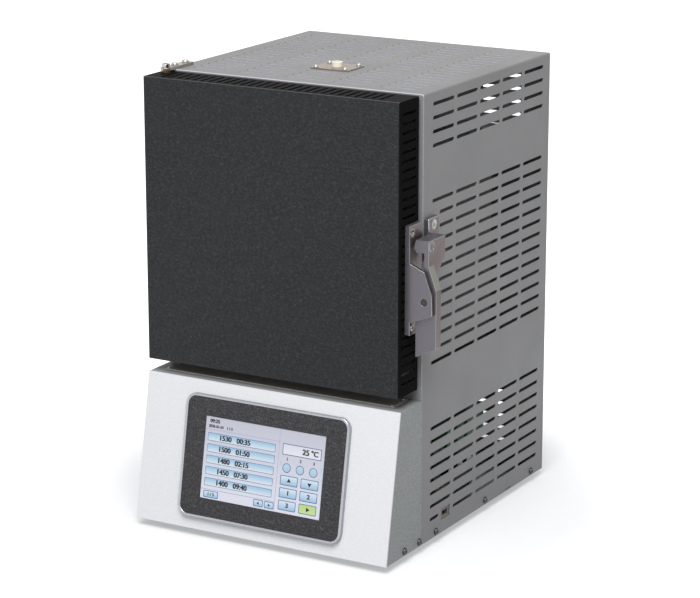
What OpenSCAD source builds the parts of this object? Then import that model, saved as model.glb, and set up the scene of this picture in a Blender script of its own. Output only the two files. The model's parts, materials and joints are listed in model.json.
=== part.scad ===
// Benchtop zirconia sintering furnace: a vented cabinet with a hinged, latched front door,
// a sloping control console below it, and a hot chamber whose hearth is raised from underneath.
// Construction axes: X to the right, Y from the front frame to the back, Z up from the floor.

/* [Cabinet] */
// Width across the cover's sides
cabinet_w = 320; // [316:1:340]
// Depth from the front frame to the rear panel
cabinet_d = 305; // [300:1:330]
// Height from the base pan to the cover's top
cabinet_h = 498; // [494:1:520]
// Thickness of the sheet steel
sheet_t = 1.2; // [1:0.1:1.5]
// Width of the folded edges of the cover
flange_w = 12; // [10:1:14]
// Outer radius of the cover's two long bends
bend_r = 2.2; // [1.6:0.1:3]
// Height of the upturned edge of the base pan
pan_h = 12; // [10:1:16]
// Height of the rubber feet
foot_h = 9; // [6:1:15]
// Diameter of the rubber feet
foot_d = 18; // [14:1:24]
// Sideways distance between the feet
foot_span_x = 280; // [250:1:284]
// Distance from the front feet to the rear feet
foot_span_y = 266; // [220:1:280]
// Place of the front feet before the front frame
foot_front_y = 31; // [20:1:40]

/* [Vent slots] */
// Width of the slots in the cover
slot_w = 4; // [2:0.5:6]
// Distance from one slot row to the next
row_pitch = 14.9; // [12:0.1:15.5]
// Length of the slots in the cover's sides
side_slot_l = 48; // [30:1:50]
// Distance from one side column to the next
side_col_pitch = 54.4; // [52:0.1:56]
// Length of the slots in the cover's top
top_slot_l = 42; // [30:1:46]
// Distance from one top column to the next
top_col_pitch = 59.2; // [56:0.1:62]
// Length of the short slots beside the latch strike
short_slot_l = 31.5; // [20:0.5:34]

/* [Console] */
// Height of the console ledge above the base pan
console_h = 164; // [150:1:170]
// Depth of the ledge
ledge_d = 47.4; // [40:0.1:60]
// Reach of the console's foot in front of the cabinet
toe_d = 77.5; // [65:0.1:90]
// Thickness of the white fascia
fascia_t = 2; // [1.5:0.1:3]
// Width of the touch panel
panel_w = 208; // [190:1:220]
// Height of the touch panel
panel_h = 138; // [120:1:142]
// Height of the touch panel above the fascia
panel_proud = 6; // [3:0.5:8]
// Width of the metal rim
rim_w = 3.2; // [2:0.1:5]
// Corner radius of the rim
rim_r = 13; // [8:0.5:18]
// Width of the visible screen
screen_w = 152.4; // [130:0.1:160]
// Height of the visible screen
screen_h = 91.4; // [80:0.1:100]

/* [Door] */
// Width of the door
door_w = 318; // [300:1:319]
// Gap between the console's ledge and the door
door_foot_gap = 14.2; // [12:0.1:20]
// Thickness of the door
door_t = 43; // [38:1:50]
// Gap between the door and the front frame
door_gap = 2.8; // [2:0.1:4]
// Gap between the door's top and the cabinet's top
door_drop = 1.4; // [1:0.1:2]
// Distance of the door's right side from the cabinet's side
door_inset = 3.3; // [2.5:0.1:5]
// Thickness of the door's sheet
door_sheet = 1.5; // [1:0.1:2]
// Width of the door's vent slots
door_slot_w = 3; // [2:0.5:4]
// Length of the door's vent slots
door_slot_l = 30; // [20:1:32]
// Distance between the door's vent slots
door_slot_pitch = 10; // [8:0.5:12]

/* [Hinge] */
// Distance of the hinge axis from the door's left side
hinge_inset = 7; // [6.5:0.1:7]
// Distance of the hinge axis from the door's back
hinge_depth = 8.2; // [8.2:0.1:9]
// Diameter of the hinge pins
hinge_pin_d = 5; // [4:0.1:6]
// Width of the hinge straps
strap_w = 12; // [10:0.5:14]
// Thickness of the hinge straps
strap_t = 3.5; // [2.5:0.1:4]

/* [Latch] */
// Thickness of the latch plates
latch_t = 6; // [4:0.5:7]
// Width of the latch base plate
latch_base_w = 27; // [25:0.5:30]
// Height of the latch base plate
latch_base_h = 118.5; // [110:0.5:130]
// Height of the lever pivot above the base pan
latch_pivot_z = 284.5; // [270:0.5:300]
// Distance of the lever pivot from the door's side
latch_pivot_x = 22.9; // [20:0.1:26]
// Diameter of the lever pivot pin
latch_pin_d = 8; // [6:0.5:9]
// Thickness of the clevis ears
ear_t = 4; // [3:0.5:5]
// Thickness of the lever
lever_t = 11; // [9:0.5:12]
// Radial running clearance of the pins
pin_play = 0.05; // [0.03:0.01:0.08]

/* [Chamber] */
// Distance of the chamber casing from the cabinet's front
casing_gap = 8; // [6:1:20]
// Width of the chamber casing
casing_w = 220; // [200:1:240]
// Depth of the chamber casing
casing_d = 178; // [160:1:180]
// Height of the chamber casing
casing_h = 133; // [120:1:140]
// Diameter of the hot cavity
cavity_d = 116; // [108:1:130]
// Height of the hot cavity
cavity_h = 95; // [85:1:100]
// Height of the upper deck above the base pan
upper_deck_h = 410; // [400:1:420]
// Diameter of the heating element rods
element_d = 4; // [3:0.5:6]
// Diameter of the element leads
lead_d = 9; // [6:0.5:10]
// Number of heating elements
element_count = 4; // [2:1:4]
// Outer diameter of the vent tube
vent_tube_d = 12.4; // [8:0.1:16]
// Width of the vent plate
vent_plate_w = 48; // [40:1:60]
// Depth of the vent plate
vent_plate_d = 38; // [34:1:50]

/* [Hearth lift] */
// Travel of the hearth from loading to closed
lift_travel = 78; // [60:1:78]
// Diameter of the lift rod
lift_rod_d = 16; // [12:1:20]
// Diameter of the guide rods
guide_rod_d = 10; // [8:1:12]
// Distance between the guide rods
guide_span = 200; // [190:1:204]
// Diameter of the hearth plate
hearth_d = 96; // [80:1:100]

/* [Rear] */
// Width of the square fan frame
fan_w = 119; // [92:1:119]
// Depth of the fan frame
fan_depth = 25; // [20:1:38]
// Height of the fan's axis above the base pan
fan_z = 290; // [260:1:320]

/* [Hidden] */
$fn = 48;

half_w = cabinet_w / 2;
base_z = foot_h;
top_z = base_z + cabinet_h;
ledge_z = base_z + console_h;
upper_deck_z = base_z + upper_deck_h;
inner_w = cabinet_w - 2 * sheet_t;
frame_y = 2 * sheet_t;
rear_y = cabinet_d - 2 * sheet_t;
cut = 0.5;

// Slot pattern of the cover's sides, in rows counted from the top.
column_count = 5;
first_row_z = top_z - 13.5;
last_row = floor((first_row_z - base_z - pan_h - slot_w) / row_pitch);
top_rows = [0:3];
middle_rows = [7:last_row - 12];
lower_rows = [last_row - 7:last_row];
short_rows = [8:last_row - 13];
side_slots_span = (column_count - 1) * side_col_pitch + side_slot_l;
side_slots_y = (cabinet_d - side_slots_span) / 2 + 1.6;
port_w = 21;
port_h = 13;
port_y = 58;
port_flange = 2.4;
port_z = base_z + pan_h + port_h / 2 + port_flange + 0.1;
tab_slot_y = 206.5;
tab_slot_l = 14.5;
tab_slot_w = 1.6;

// The sloping console front.
slope_run = toe_d - ledge_d;
slope_angle = atan(slope_run / console_h);
fascia_run = fascia_t / cos(slope_angle);

// The door's outer faces and its hinge axis.
door_x1 = half_w - door_inset;
door_x0 = door_x1 - door_w;
door_z1 = top_z - door_drop;
door_z0 = ledge_z + door_foot_gap;
door_h = door_z1 - door_z0;
door_y1 = -door_gap;
door_y0 = door_y1 - door_t;
hinge_x = door_x0 + hinge_inset;
hinge_y = door_y1 - hinge_depth;

// The latch, measured from its pivot and from the door's side.
pivot_x = door_x1 + latch_pivot_x;
pivot_z = base_z + latch_pivot_z;
latch_y0 = door_y1 - 30.7;
base_x1 = door_x1 + latch_t;
ear_gap = 1.2;
lever_y0 = latch_y0 + ear_t + ear_gap;
lever_y1 = lever_y0 + lever_t;
lever_face = 11.9;
lever_x1 = pivot_x + lever_face;
head_top = 65;
head_x1 = pivot_x + 2.8;
strike_t = latch_t - 0.2;
strike_y0 = 2.6;
strike_w = 24;
strike_z0 = pivot_z + 33;
strike_h = 48;

// The chamber and its hearth.
chamber_y = casing_gap + casing_d / 2;
casing_z0 = upper_deck_z - sheet_t - casing_h;
cavity_top = casing_z0 + cavity_h + sheet_t;
element_r = 47;
element_gap = 22;
element_z0 = casing_z0 + 30;
carrier_z = casing_z0 - lift_travel - 27;
carrier_t = 4;
plug_t = 22;
plug_step = 18;
hearth_t = 6;
plug_z = carrier_z + carrier_t;
hearth_z = plug_z + plug_t + plug_step;

// Places of the fastenings.
screw_d = 4;
head_d = 8;
head_h = 2.6;
small_head_d = 6;
small_head_h = 2;
side_screws_y = [35.4, 154.5, 273.5];
console_screws_y = [-37, -3.4];
side_screw_z = base_z + 5.5;

// Centre of the whole object: from the left screw heads to the latch lever,
// and from the touch panel's lower edge to the tip of the breaker's rocker.
front_tip = -(toe_d + ledge_d) / 2 - panel_h / 2 * sin(slope_angle) - panel_proud * cos(slope_angle);
rocker_w = 12;
rocker_h = 24;
rocker_tilt = 9;
rocker_reach = 5.6;
rocker_y = rear_y + sheet_t - 4;
rear_tip = rocker_y + rocker_reach * cos(rocker_tilt) + rocker_h / 2 * sin(rocker_tilt);
centre_x = (lever_x1 - half_w - head_h) / 2;
centre_y = (front_tip + rear_tip) / 2;

module centred() { translate([-centre_x, -centre_y, 0]) children(); }

// An outline in Y and Z, drawn out along X.
module along_x(x0, width) { translate([x0, 0, 0]) rotate([90, 0, 90]) linear_extrude(width) children(); }

// An outline in X and Z, drawn out along Y.
module along_y(y0, depth) { translate([0, y0 + depth, 0]) rotate([90, 0, 0]) linear_extrude(depth) children(); }

// A box from its low corner to its high corner.
module block(low, high) { translate(low) cube(high - low); }

// A flat slot with round ends, from its left end along X.
module slot_outline(length, width) {
    translate([width / 2, -width / 2]) square([length - width, width]);
    translate([width / 2, 0]) circle(d = width);
    translate([length - width / 2, 0]) circle(d = width);
}

// A rectangle with round corners, centred.
module rounded_outline(width, height, radius) {
    square([width - 2 * radius, height], center = true);
    square([width, height - 2 * radius], center = true);
    for (sx = [-1, 1], sy = [-1, 1])
        translate([sx * (width / 2 - radius), sy * (height / 2 - radius)]) circle(radius);
}

// A screw with its head on the plane Z = 0 and its shank below.
module pan_screw(shank_d, shank_l, top_d, top_h) {
    rotate_extrude()
        polygon([[0, -shank_l], [shank_d / 2, -shank_l], [shank_d / 2, 0], [top_d / 2, 0],
                 [top_d / 2, top_h * 0.45], [top_d * 0.36, top_h], [0, top_h]]);
}

// A countersunk screw with its flat head level with the plane Z = 0.
module flush_screw(shank_d, shank_l, top_d) {
    sink = (top_d - shank_d) / 2;
    rotate_extrude()
        polygon([[0, -shank_l], [shank_d / 2, -shank_l], [shank_d / 2, -sink], [top_d / 2, 0], [0, 0]]);
}

// Base pan: floor and upturned edges, under the cabinet and the console.
module pan_outline(inset) {
    x = half_w - sheet_t - inset;
    polygon([[-x, -toe_d + fascia_run + 4 + inset], [x, -toe_d + fascia_run + 4 + inset],
             [x, rear_y - inset], [-x, rear_y - inset]]);
}

module base_pan() {
    centred() color("slategray") difference() {
        translate([0, 0, base_z]) linear_extrude(pan_h) pan_outline(0);
        translate([0, 0, base_z + sheet_t]) linear_extrude(pan_h) pan_outline(sheet_t);
        for (side = [-1, 1], y = concat(side_screws_y, console_screws_y))
            translate([side * half_w, y, side_screw_z]) rotate([0, 90, 0])
                cylinder(d = screw_d, h = 4 * sheet_t + 4, center = true);
        for (sx = [-1, 1], y = [-foot_front_y, foot_span_y - foot_front_y])
            translate([sx * foot_span_x / 2, y, base_z - cut]) cylinder(d = screw_d, h = 3);
    }
}

// Rubber feet, tapered, with a moulded plug that passes through the base pan.
module rubber_feet() {
    centred() color("dimgray")
        for (sx = [-1, 1], y = [-foot_front_y, foot_span_y - foot_front_y])
            translate([sx * foot_span_x / 2, y, 0]) rotate_extrude()
                polygon([[0, 0], [foot_d / 2 - 1.5, 0], [foot_d / 2, foot_h], [screw_d / 2, foot_h],
                         [screw_d / 2, foot_h + sheet_t], [3.5, foot_h + sheet_t],
                         [3, foot_h + sheet_t + 2], [0, foot_h + sheet_t + 2]]);
}

// Slots of one side; the right side leaves room for the strike and the port.
module side_slots(is_right) {
    for (rows = [top_rows, middle_rows, lower_rows], row = rows, column = [0:column_count - 1]) {
        is_short = is_right && column == 0 && row >= short_rows[0] && row <= short_rows[2];
        at_port = is_right && row == lower_rows[2] && column == 0;
        length = is_short ? short_slot_l : at_port ? side_slot_l / 2 - 4 : side_slot_l;
        shift = is_short ? side_slot_l - short_slot_l : 0;
        translate([side_slots_y + column * side_col_pitch + shift, first_row_z - row * row_pitch])
            slot_outline(length, slot_w);
    }
}

module side_cuts(is_right) {
    side_slots(is_right);
    for (y = side_screws_y) translate([y, side_screw_z]) circle(d = screw_d + 0.4);
    if (is_right) translate([port_y, port_z]) square([port_w, port_h], center = true);
    if (is_right) translate([tab_slot_y, base_z + 2.2]) slot_outline(tab_slot_l, tab_slot_w);
}

// Slots and holes of the top.
module top_slots() {
    span = (column_count - 1) * top_col_pitch + top_slot_l;
    for (row = [0:17], column = [0:column_count - 1]) {
        y = 21.5 + row * row_pitch;
        under_plate = column == 2 && abs(y - chamber_y) < vent_plate_d / 2 + slot_w;
        if (!under_plate) translate([column * top_col_pitch - span / 2, y]) slot_outline(top_slot_l, slot_w);
    }
}

module top_cuts() {
    top_slots();
    translate([0, chamber_y]) circle(d = vent_tube_d + 8);
    for (x = [-1, 1], y = [-1, 1])
        translate([x * vent_screw_x, chamber_y + y * vent_screw_y]) circle(d = 3);
    for (y = strap_screws_y) translate([hinge_x, y]) circle(d = screw_d);
}

// A tall outline in X and Z, open below, whose upper corners are bends.
module folded_outline(x, top, radius, bottom) {
    translate([-x, bottom]) square([2 * x, top - bottom - radius]);
    translate([radius - x, bottom]) square([2 * (x - radius), top - bottom]);
    for (side = [-1, 1]) translate([side * (x - radius), top - radius]) circle(radius);
}

// Outer cover: one slotted sheet folded over the top and both sides, with folded front and rear edges.
module side_flange(y, has_screw) {
    along_y(y, sheet_t) difference() {
        translate([half_w - flange_w, base_z + pan_h])
            square([flange_w - sheet_t / 2, cabinet_h - sheet_t - pan_h]);
        if (has_screw) translate([-hinge_x, bracket_screw_z]) circle(d = 3);
    }
}

module outer_cover() {
    edge_x = half_w - flange_w - 0.3;
    wall_x = half_w - sheet_t - cut;
    centred() color("gray") {
        difference() {
            along_y(0, cabinet_d) difference() {
                folded_outline(half_w, top_z, bend_r, base_z);
                folded_outline(half_w - sheet_t, top_z - sheet_t, bend_r - sheet_t, base_z - cut);
            }
            along_x(wall_x, sheet_t + 2 * cut) side_cuts(true);
            mirror([1, 0, 0]) along_x(wall_x, sheet_t + 2 * cut) side_cuts(false);
            translate([0, 0, top_z - sheet_t - cut]) linear_extrude(sheet_t + 2 * cut) top_cuts();
        }
        for (y = [0, cabinet_d - sheet_t]) {
            block([-edge_x, y, top_z - flange_w], [edge_x, y + sheet_t, top_z - sheet_t / 2]);
            side_flange(y, false);
            mirror([1, 0, 0]) side_flange(y, y == 0);
        }
    }
}
vent_screw_x = vent_plate_w / 2 - 5.5;
vent_screw_y = vent_plate_d / 2 - 3.7;
strap_screws_y = [7, 28];

// Front frame behind the door, with the opening of the loading bay. It and the rear panel fit under
// the cover's bends.
bay_w = 280;
bay_z0 = ledge_z + 22;
bay_z1 = upper_deck_z - 8;

module inner_panel(z0) {
    x = inner_w / 2;
    z1 = top_z - sheet_t;
    notch = bend_r - sheet_t;
    polygon([[-x, z0], [x, z0], [x, z1 - notch], [x - notch, z1], [notch - x, z1], [-x, z1 - notch]]);
}

module front_frame() {
    centred() color("gray") along_y(sheet_t, sheet_t) difference() {
        inner_panel(ledge_z - 12);
        translate([0, (bay_z0 + bay_z1) / 2]) rounded_outline(bay_w, bay_z1 - bay_z0, 6);
    }
}

// Rope seal round the bay opening, pressed by the door's back.
seal_w = 8;
seal_play = 0.3;

module door_gasket() {
    mid_z = (bay_z0 + bay_z1) / 2;
    tall = bay_z1 - bay_z0;
    centred() color("ivory") along_y(-door_gap + seal_play, door_gap - seal_play + sheet_t) difference() {
        translate([0, mid_z]) rounded_outline(bay_w + 2 * seal_w, tall + 2 * seal_w, 6 + seal_w);
        translate([0, mid_z]) rounded_outline(bay_w, tall, 6);
    }
}

// Rear panel with a fan grille, vents and the cut-outs of the inlet and the breaker.
inlet_x = -95;
breaker_x = -40;
power_z = base_z + 45;
inlet_w = 28;
inlet_h = 22;
breaker_w = 20;
breaker_h = 34;

module fan_grille() {
    for (r = [14:9:50]) difference() {
        circle(r + 3);
        circle(r - 3);
        for (turn = [45, 135]) rotate(turn) square([120, 5], center = true);
    }
}

module rear_panel() {
    centred() color("gray") along_y(rear_y, sheet_t) difference() {
        inner_panel(base_z + sheet_t);
        translate([0, base_z + fan_z]) fan_grille();
        for (row = [0:5], side = [-1, 1])
            translate([side * 100 - 25, top_z - 30 - row * row_pitch]) slot_outline(50, slot_w);
        for (row = [0:5]) translate([60, base_z + 28 + row * row_pitch]) slot_outline(60, slot_w);
        translate([inlet_x, power_z]) square([inlet_w, inlet_h], center = true);
        translate([breaker_x, power_z]) square([breaker_w, breaker_h], center = true);
        for (x = [-1, 1], z = [-1, 1])
            translate([x * fan_hole_x, base_z + fan_z + z * fan_hole_x]) circle(d = screw_d + 0.4);
    }
}
fan_hole_x = (fan_w - 14) / 2;

// Lower deck between the electrical bay and the loading bay.
module lower_deck() {
    deck_y0 = frame_y;
    centred() color("silver") difference() {
        union() {
            block([-inner_w / 2, deck_y0, ledge_z - sheet_t], [inner_w / 2, rear_y, ledge_z]);
            for (y = [deck_y0, rear_y - sheet_t])
                block([-inner_w / 2, y, ledge_z - 10], [inner_w / 2, y + sheet_t, ledge_z]);
        }
        translate([0, chamber_y, ledge_z - 3]) cylinder(d = lift_rod_d + 2, h = 6);
        for (side = [-1, 1]) translate([side * guide_span / 2, chamber_y, ledge_z - 3])
            cylinder(d = guide_rod_d, h = 6);
    }
}

// Upper deck that carries the chamber, with holes for the element leads and the vent tube.
module lead_places() {
    for (i = [0:element_count - 1]) {
        turn = 45 + i * 360 / element_count;
        for (side = [-1, 1])
            translate([0, chamber_y]) rotate(turn) translate([element_r, side * element_gap / 2]) children();
    }
}

module upper_deck() {
    centred() color("silver") translate([0, 0, upper_deck_z - sheet_t]) linear_extrude(sheet_t) difference() {
        translate([-inner_w / 2, frame_y]) square([inner_w, rear_y - frame_y]);
        lead_places() circle(d = lead_d + 4);
        translate([0, chamber_y]) circle(d = vent_tube_d + 2);
        for (row = [0:4]) translate([-60, 205 + row * row_pitch]) slot_outline(120, slot_w);
    }
}

// Liner of the loading bay: two side walls and a rear wall with an air hole for the fan.
liner_t = 1;
liner_x = bay_w / 2 + 2;
liner_y1 = chamber_y + casing_d / 2 + 8;

module bay_liner() {
    z0 = ledge_z;
    z1 = upper_deck_z - sheet_t;
    centred() color("lightgray") {
        for (side = [-1, 1])
            block([side * (liner_x + liner_t / 2) - liner_t / 2, frame_y, z0],
                  [side * (liner_x + liner_t / 2) + liner_t / 2, liner_y1, z1]);
        along_y(liner_y1, liner_t) difference() {
            translate([-liner_x - liner_t, z0]) square([2 * (liner_x + liner_t), z1 - z0]);
            for (row = [0:5], side = [-1, 1])
                translate([side * 55 - 30, z0 + 16 + row * row_pitch]) slot_outline(60, slot_w);
            translate([0, thermo_z]) circle(d = thermo_d + 1);
        }
    }
}

// Chamber casing, hung below the upper deck.
module chamber_casing() {
    centred() color("lightgray") difference() {
        block([-casing_w / 2, chamber_y - casing_d / 2, casing_z0],
              [casing_w / 2, chamber_y + casing_d / 2, casing_z0 + casing_h]);
        block([-casing_w / 2 + sheet_t, chamber_y - casing_d / 2 + sheet_t, casing_z0 + sheet_t],
              [casing_w / 2 - sheet_t, chamber_y + casing_d / 2 - sheet_t, casing_z0 + casing_h + cut]);
        translate([0, chamber_y, casing_z0 - cut]) cylinder(d = cavity_d, h = 4);
        for (side = [-1, 1]) translate([side * guide_span / 2, chamber_y, casing_z0 - cut])
            cylinder(d = guide_rod_d, h = 4);
        translate([0, chamber_y + casing_d / 2 + cut, thermo_z]) rotate([90, 0, 0])
            cylinder(d = thermo_d, h = 4);
    }
}

// Ceramic fibre insulation: two wall blocks round the hot cavity and a roof block over them.
thermo_d = 6;
thermo_z = casing_z0 + 60;
block_x = casing_w / 2 - sheet_t;
block_y = casing_d / 2 - sheet_t;

module wall_block(y0, y1) {
    difference() {
        block([-block_x, y0, casing_z0 + sheet_t], [block_x, y1, cavity_top]);
        translate([0, chamber_y, casing_z0]) cylinder(d = cavity_d, h = cavity_h + 4);
    }
}

module insulation_front() {
    centred() color("white") wall_block(chamber_y - block_y, chamber_y);
}

module insulation_rear() {
    centred() color("white") difference() {
        wall_block(chamber_y, chamber_y + block_y);
        translate([0, chamber_y + casing_d / 2, thermo_z]) rotate([90, 0, 0])
            cylinder(d = thermo_d, h = casing_d / 2);
    }
}

module insulation_roof() {
    roof_h = casing_z0 + casing_h - cavity_top;
    centred() color("white") translate([0, 0, cavity_top]) linear_extrude(roof_h) difference() {
        translate([-block_x, chamber_y - block_y]) square([2 * block_x, 2 * block_y]);
        lead_places() circle(d = lead_d + 0.6);
        translate([0, chamber_y]) circle(d = vent_tube_d);
    }
}

// Heating elements: hairpins with thick leads up through the roof.
lead_top = upper_deck_z + 46;

module hairpin() {
    bend_r = element_gap / 2;
    leg_z = element_z0 + bend_r;
    for (side = [-1, 1]) {
        translate([0, side * bend_r, leg_z]) cylinder(d = element_d, h = cavity_top - 8 - leg_z);
        translate([0, side * bend_r, cavity_top - 12]) cylinder(d1 = element_d, d2 = lead_d, h = 4);
        translate([0, side * bend_r, cavity_top - 8]) cylinder(d = lead_d, h = lead_top - cavity_top + 8);
    }
    translate([0, 0, leg_z]) rotate([0, 90, 0]) rotate([0, 0, -90]) rotate_extrude(angle = 180)
        translate([bend_r, 0]) circle(d = element_d);
}

module heating_elements() {
    centred() color("dimgray") for (i = [0:element_count - 1])
        translate([0, chamber_y, 0]) rotate(45 + i * 360 / element_count)
            translate([element_r, 0, 0]) hairpin();
}

// Ceramic holders on the upper deck, one for each element, that carry its clamps.
holder_w = 16;
clamp_w = 16;
clamp_d = 14;
clamp_h = 10;
clamp_z = lead_top - clamp_h - 4;

module element_holders() {
    centred() color("ivory") for (i = [0:element_count - 1])
        translate([0, chamber_y, upper_deck_z]) rotate(45 + i * 360 / element_count)
            translate([element_r, 0, 0]) linear_extrude(clamp_z - upper_deck_z) difference() {
                square([holder_w, element_gap + holder_w], center = true);
                for (side = [-1, 1]) translate([0, side * element_gap / 2]) circle(d = lead_d + 0.4);
            }
}

// Aluminium clamps that grip the element leads.
module element_clamps() {
    centred() color("silver") lead_places() translate([0, 0, clamp_z]) difference() {
        translate([-clamp_w / 2, -clamp_d / 2, 0]) cube([clamp_w, clamp_d, clamp_h]);
        translate([0, 0, -cut]) cylinder(d = lead_d, h = clamp_h + 2);
    }
}

// Phenolic terminal board on the upper deck, with brass studs.
terminal_side = 30;
terminal_y = 20;
terminal_w = 32;
terminal_t = 6;
terminal_foot = 14;
terminal_gap = 8;
terminal_stud_d = 6;
terminal_stud_pitch = 20;

module terminal_board() {
    x = half_w - terminal_side;
    y1 = terminal_y + terminal_w;
    centred() color("sienna") {
        block([x, terminal_y, upper_deck_z], [x + terminal_t, y1, top_z - terminal_gap]);
        block([x - terminal_foot, terminal_y, upper_deck_z], [x, y1, upper_deck_z + terminal_t / 2]);
        for (i = [1:3])
            translate([x + terminal_t, terminal_y + terminal_w / 2, upper_deck_z + i * terminal_stud_pitch])
                rotate([0, 90, 0]) cylinder(d = terminal_stud_d, h = 8);
    }
}

// Thermocouple: a ceramic sheath into the cavity and its connection head.
module thermocouple() {
    head_y = liner_y1 + liner_t + 4;
    centred() color("seashell") {
        translate([0, head_y, thermo_z]) rotate([90, 0, 0])
            cylinder(d = thermo_d, h = head_y - chamber_y - 30);
        translate([0, head_y + 24, thermo_z]) rotate([90, 0, 0]) cylinder(d = 26, h = 24);
    }
}

// Vent tube and the plate that holds it on the top cover.
vent_plate_t = 1.5;
tube_top = top_z + vent_plate_t + 5.5;

module vent_tube() {
    centred() color("white") translate([0, chamber_y, 0]) difference() {
        translate([0, 0, cavity_top]) cylinder(d = vent_tube_d, h = tube_top - cavity_top);
        translate([0, 0, cavity_top - cut]) cylinder(d = vent_tube_d - 6, h = tube_top - cavity_top + 1);
    }
}

module vent_plate() {
    centred() color("darkgray") translate([0, chamber_y, top_z]) linear_extrude(vent_plate_t) difference() {
        rounded_outline(vent_plate_w, vent_plate_d, 1.5);
        circle(d = vent_tube_d);
        for (x = [-1, 1], y = [-1, 1]) translate([x * vent_screw_x, y * vent_screw_y]) circle(d = 3);
    }
}

// Small screws of the vent plate and of the ledge plate.
ledge_plate_t = 1;
ledge_plate_w = 292;
ledge_plate_d = 33;
ledge_plate_x = -1.8;

module ledge_screw_places() {
    for (x = [-1, 1], y = [-1, 1])
        translate([ledge_plate_x + x * (ledge_plate_w / 2 - 4), -ledge_plate_d / 2 - 0.5 + y * (ledge_plate_d / 2 - 4)])
            children();
}

module plate_screws() {
    centred() color("lightsteelblue") {
        for (x = [-1, 1], y = [-1, 1])
            translate([x * vent_screw_x, chamber_y + y * vent_screw_y, top_z + vent_plate_t])
                pan_screw(3, vent_plate_t + sheet_t + 1, small_head_d, small_head_h);
        ledge_screw_places() translate([0, 0, ledge_z + ledge_plate_t])
            pan_screw(2, ledge_plate_t + sheet_t, 3.4, 0.8);
    }
}

// Cover screws along the base, and those of the hinge straps and of the fan.
module cover_screws() {
    shank = 2 * sheet_t + 2;
    centred() color("tan") {
        for (side = [-1, 1], y = concat(side_screws_y, console_screws_y))
            translate([side * half_w, y, side_screw_z]) rotate([0, side * 90, 0])
                pan_screw(screw_d, shank, head_d, head_h);
        for (y = strap_screws_y) translate([hinge_x, y, top_z + strap_t])
            pan_screw(screw_d, strap_t + sheet_t, head_d, head_h);
        translate([hinge_x, -strap_t, bracket_screw_z]) rotate([90, 0, 0])
            pan_screw(3, strap_t + sheet_t, small_head_d, small_head_h);
        for (x = [-1, 1], z = [-1, 1])
            translate([x * fan_hole_x, rear_y + sheet_t, base_z + fan_z + z * fan_hole_x]) rotate([-90, 0, 0])
                pan_screw(screw_d, fan_depth / 2, head_d, head_h);
    }
}

// Hinge straps: a flat one on the top cover, an angle under the door.
strap_nose = 6;
bracket_z1 = door_z0 - door_drop;
bracket_screw_z = ledge_z + 5;

module hinge_strap_top() {
    centred() color("silver") difference() {
        translate([0, 0, top_z]) linear_extrude(strap_t) {
            translate([hinge_x - strap_w / 2, hinge_y]) square([strap_w, 36 - hinge_y]);
            translate([hinge_x, hinge_y]) circle(d = strap_w);
        }
        translate([hinge_x, hinge_y, top_z - cut]) cylinder(r = hinge_pin_d / 2 + pin_play, h = strap_t + 1);
        for (y = strap_screws_y) translate([hinge_x, y, top_z - cut]) cylinder(d = screw_d, h = strap_t + 1);
    }
}

module hinge_strap_bottom() {
    centred() color("silver") difference() {
        union() {
            translate([0, 0, bracket_z1 - strap_t]) linear_extrude(strap_t) {
                translate([hinge_x - strap_w / 2, hinge_y]) square([strap_w, -hinge_y]);
                translate([hinge_x, hinge_y]) circle(d = strap_w);
            }
            block([hinge_x - strap_w / 2, -strap_t, ledge_z], [hinge_x + strap_w / 2, 0, bracket_z1]);
        }
        translate([hinge_x, hinge_y, bracket_z1 - strap_t - cut])
            cylinder(r = hinge_pin_d / 2 + pin_play, h = strap_t + 1);
        translate([hinge_x, 1, bracket_screw_z]) rotate([90, 0, 0]) cylinder(d = 3, h = strap_t + 2);
    }
}

// Hinge pins, screwed into the door, and their brass washers.
pin_reach = 14;
hinge_play = 0.2;

module hinge_pin() {
    difference() {
        union() {
            translate([0, 0, -pin_reach - door_drop]) cylinder(d = hinge_pin_d, h = pin_reach + door_drop + strap_t + hinge_play);
            translate([0, 0, strap_t + hinge_play]) cylinder(d = hinge_pin_d + 4, h = 4);
        }
        translate([0, 0, strap_t + hinge_play + 1.6]) cylinder(d = 4.6, h = 3, $fn = 6);
    }
}

module hinge_pins() {
    centred() color("gainsboro") {
        translate([hinge_x, hinge_y, top_z]) hinge_pin();
        translate([hinge_x, hinge_y, bracket_z1]) mirror([0, 0, 1]) hinge_pin();
    }
}

module hinge_washers() {
    thick = door_drop - hinge_play;
    centred() color("gold") for (z = [door_z1, door_z0 - thick]) translate([hinge_x, hinge_y, z])
        linear_extrude(thick) difference() {
            circle(d = hinge_pin_d + 5);
            circle(d = hinge_pin_d);
        }
}

// Steel blocks inside the door that take the hinge pins.
hinge_block_h = 18;

module hinge_blocks() {
    x0 = door_x0 + door_sheet;
    y1 = door_y1 - door_sheet;
    centred() color("gray") for (z = [door_z0 + door_sheet, door_z1 - door_sheet - hinge_block_h])
        difference() {
            block([x0, y1 - 14, z], [x0 + 13, y1, z + hinge_block_h]);
            translate([hinge_x, hinge_y, z - cut]) cylinder(d = hinge_pin_d, h = hinge_block_h + 1);
        }
}

// Door shell: a vented sheet box, open at the back.
door_corner = 2;
side_slot_count = 30;
top_slot_count = 28;
top_slot_shift = -3;

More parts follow.
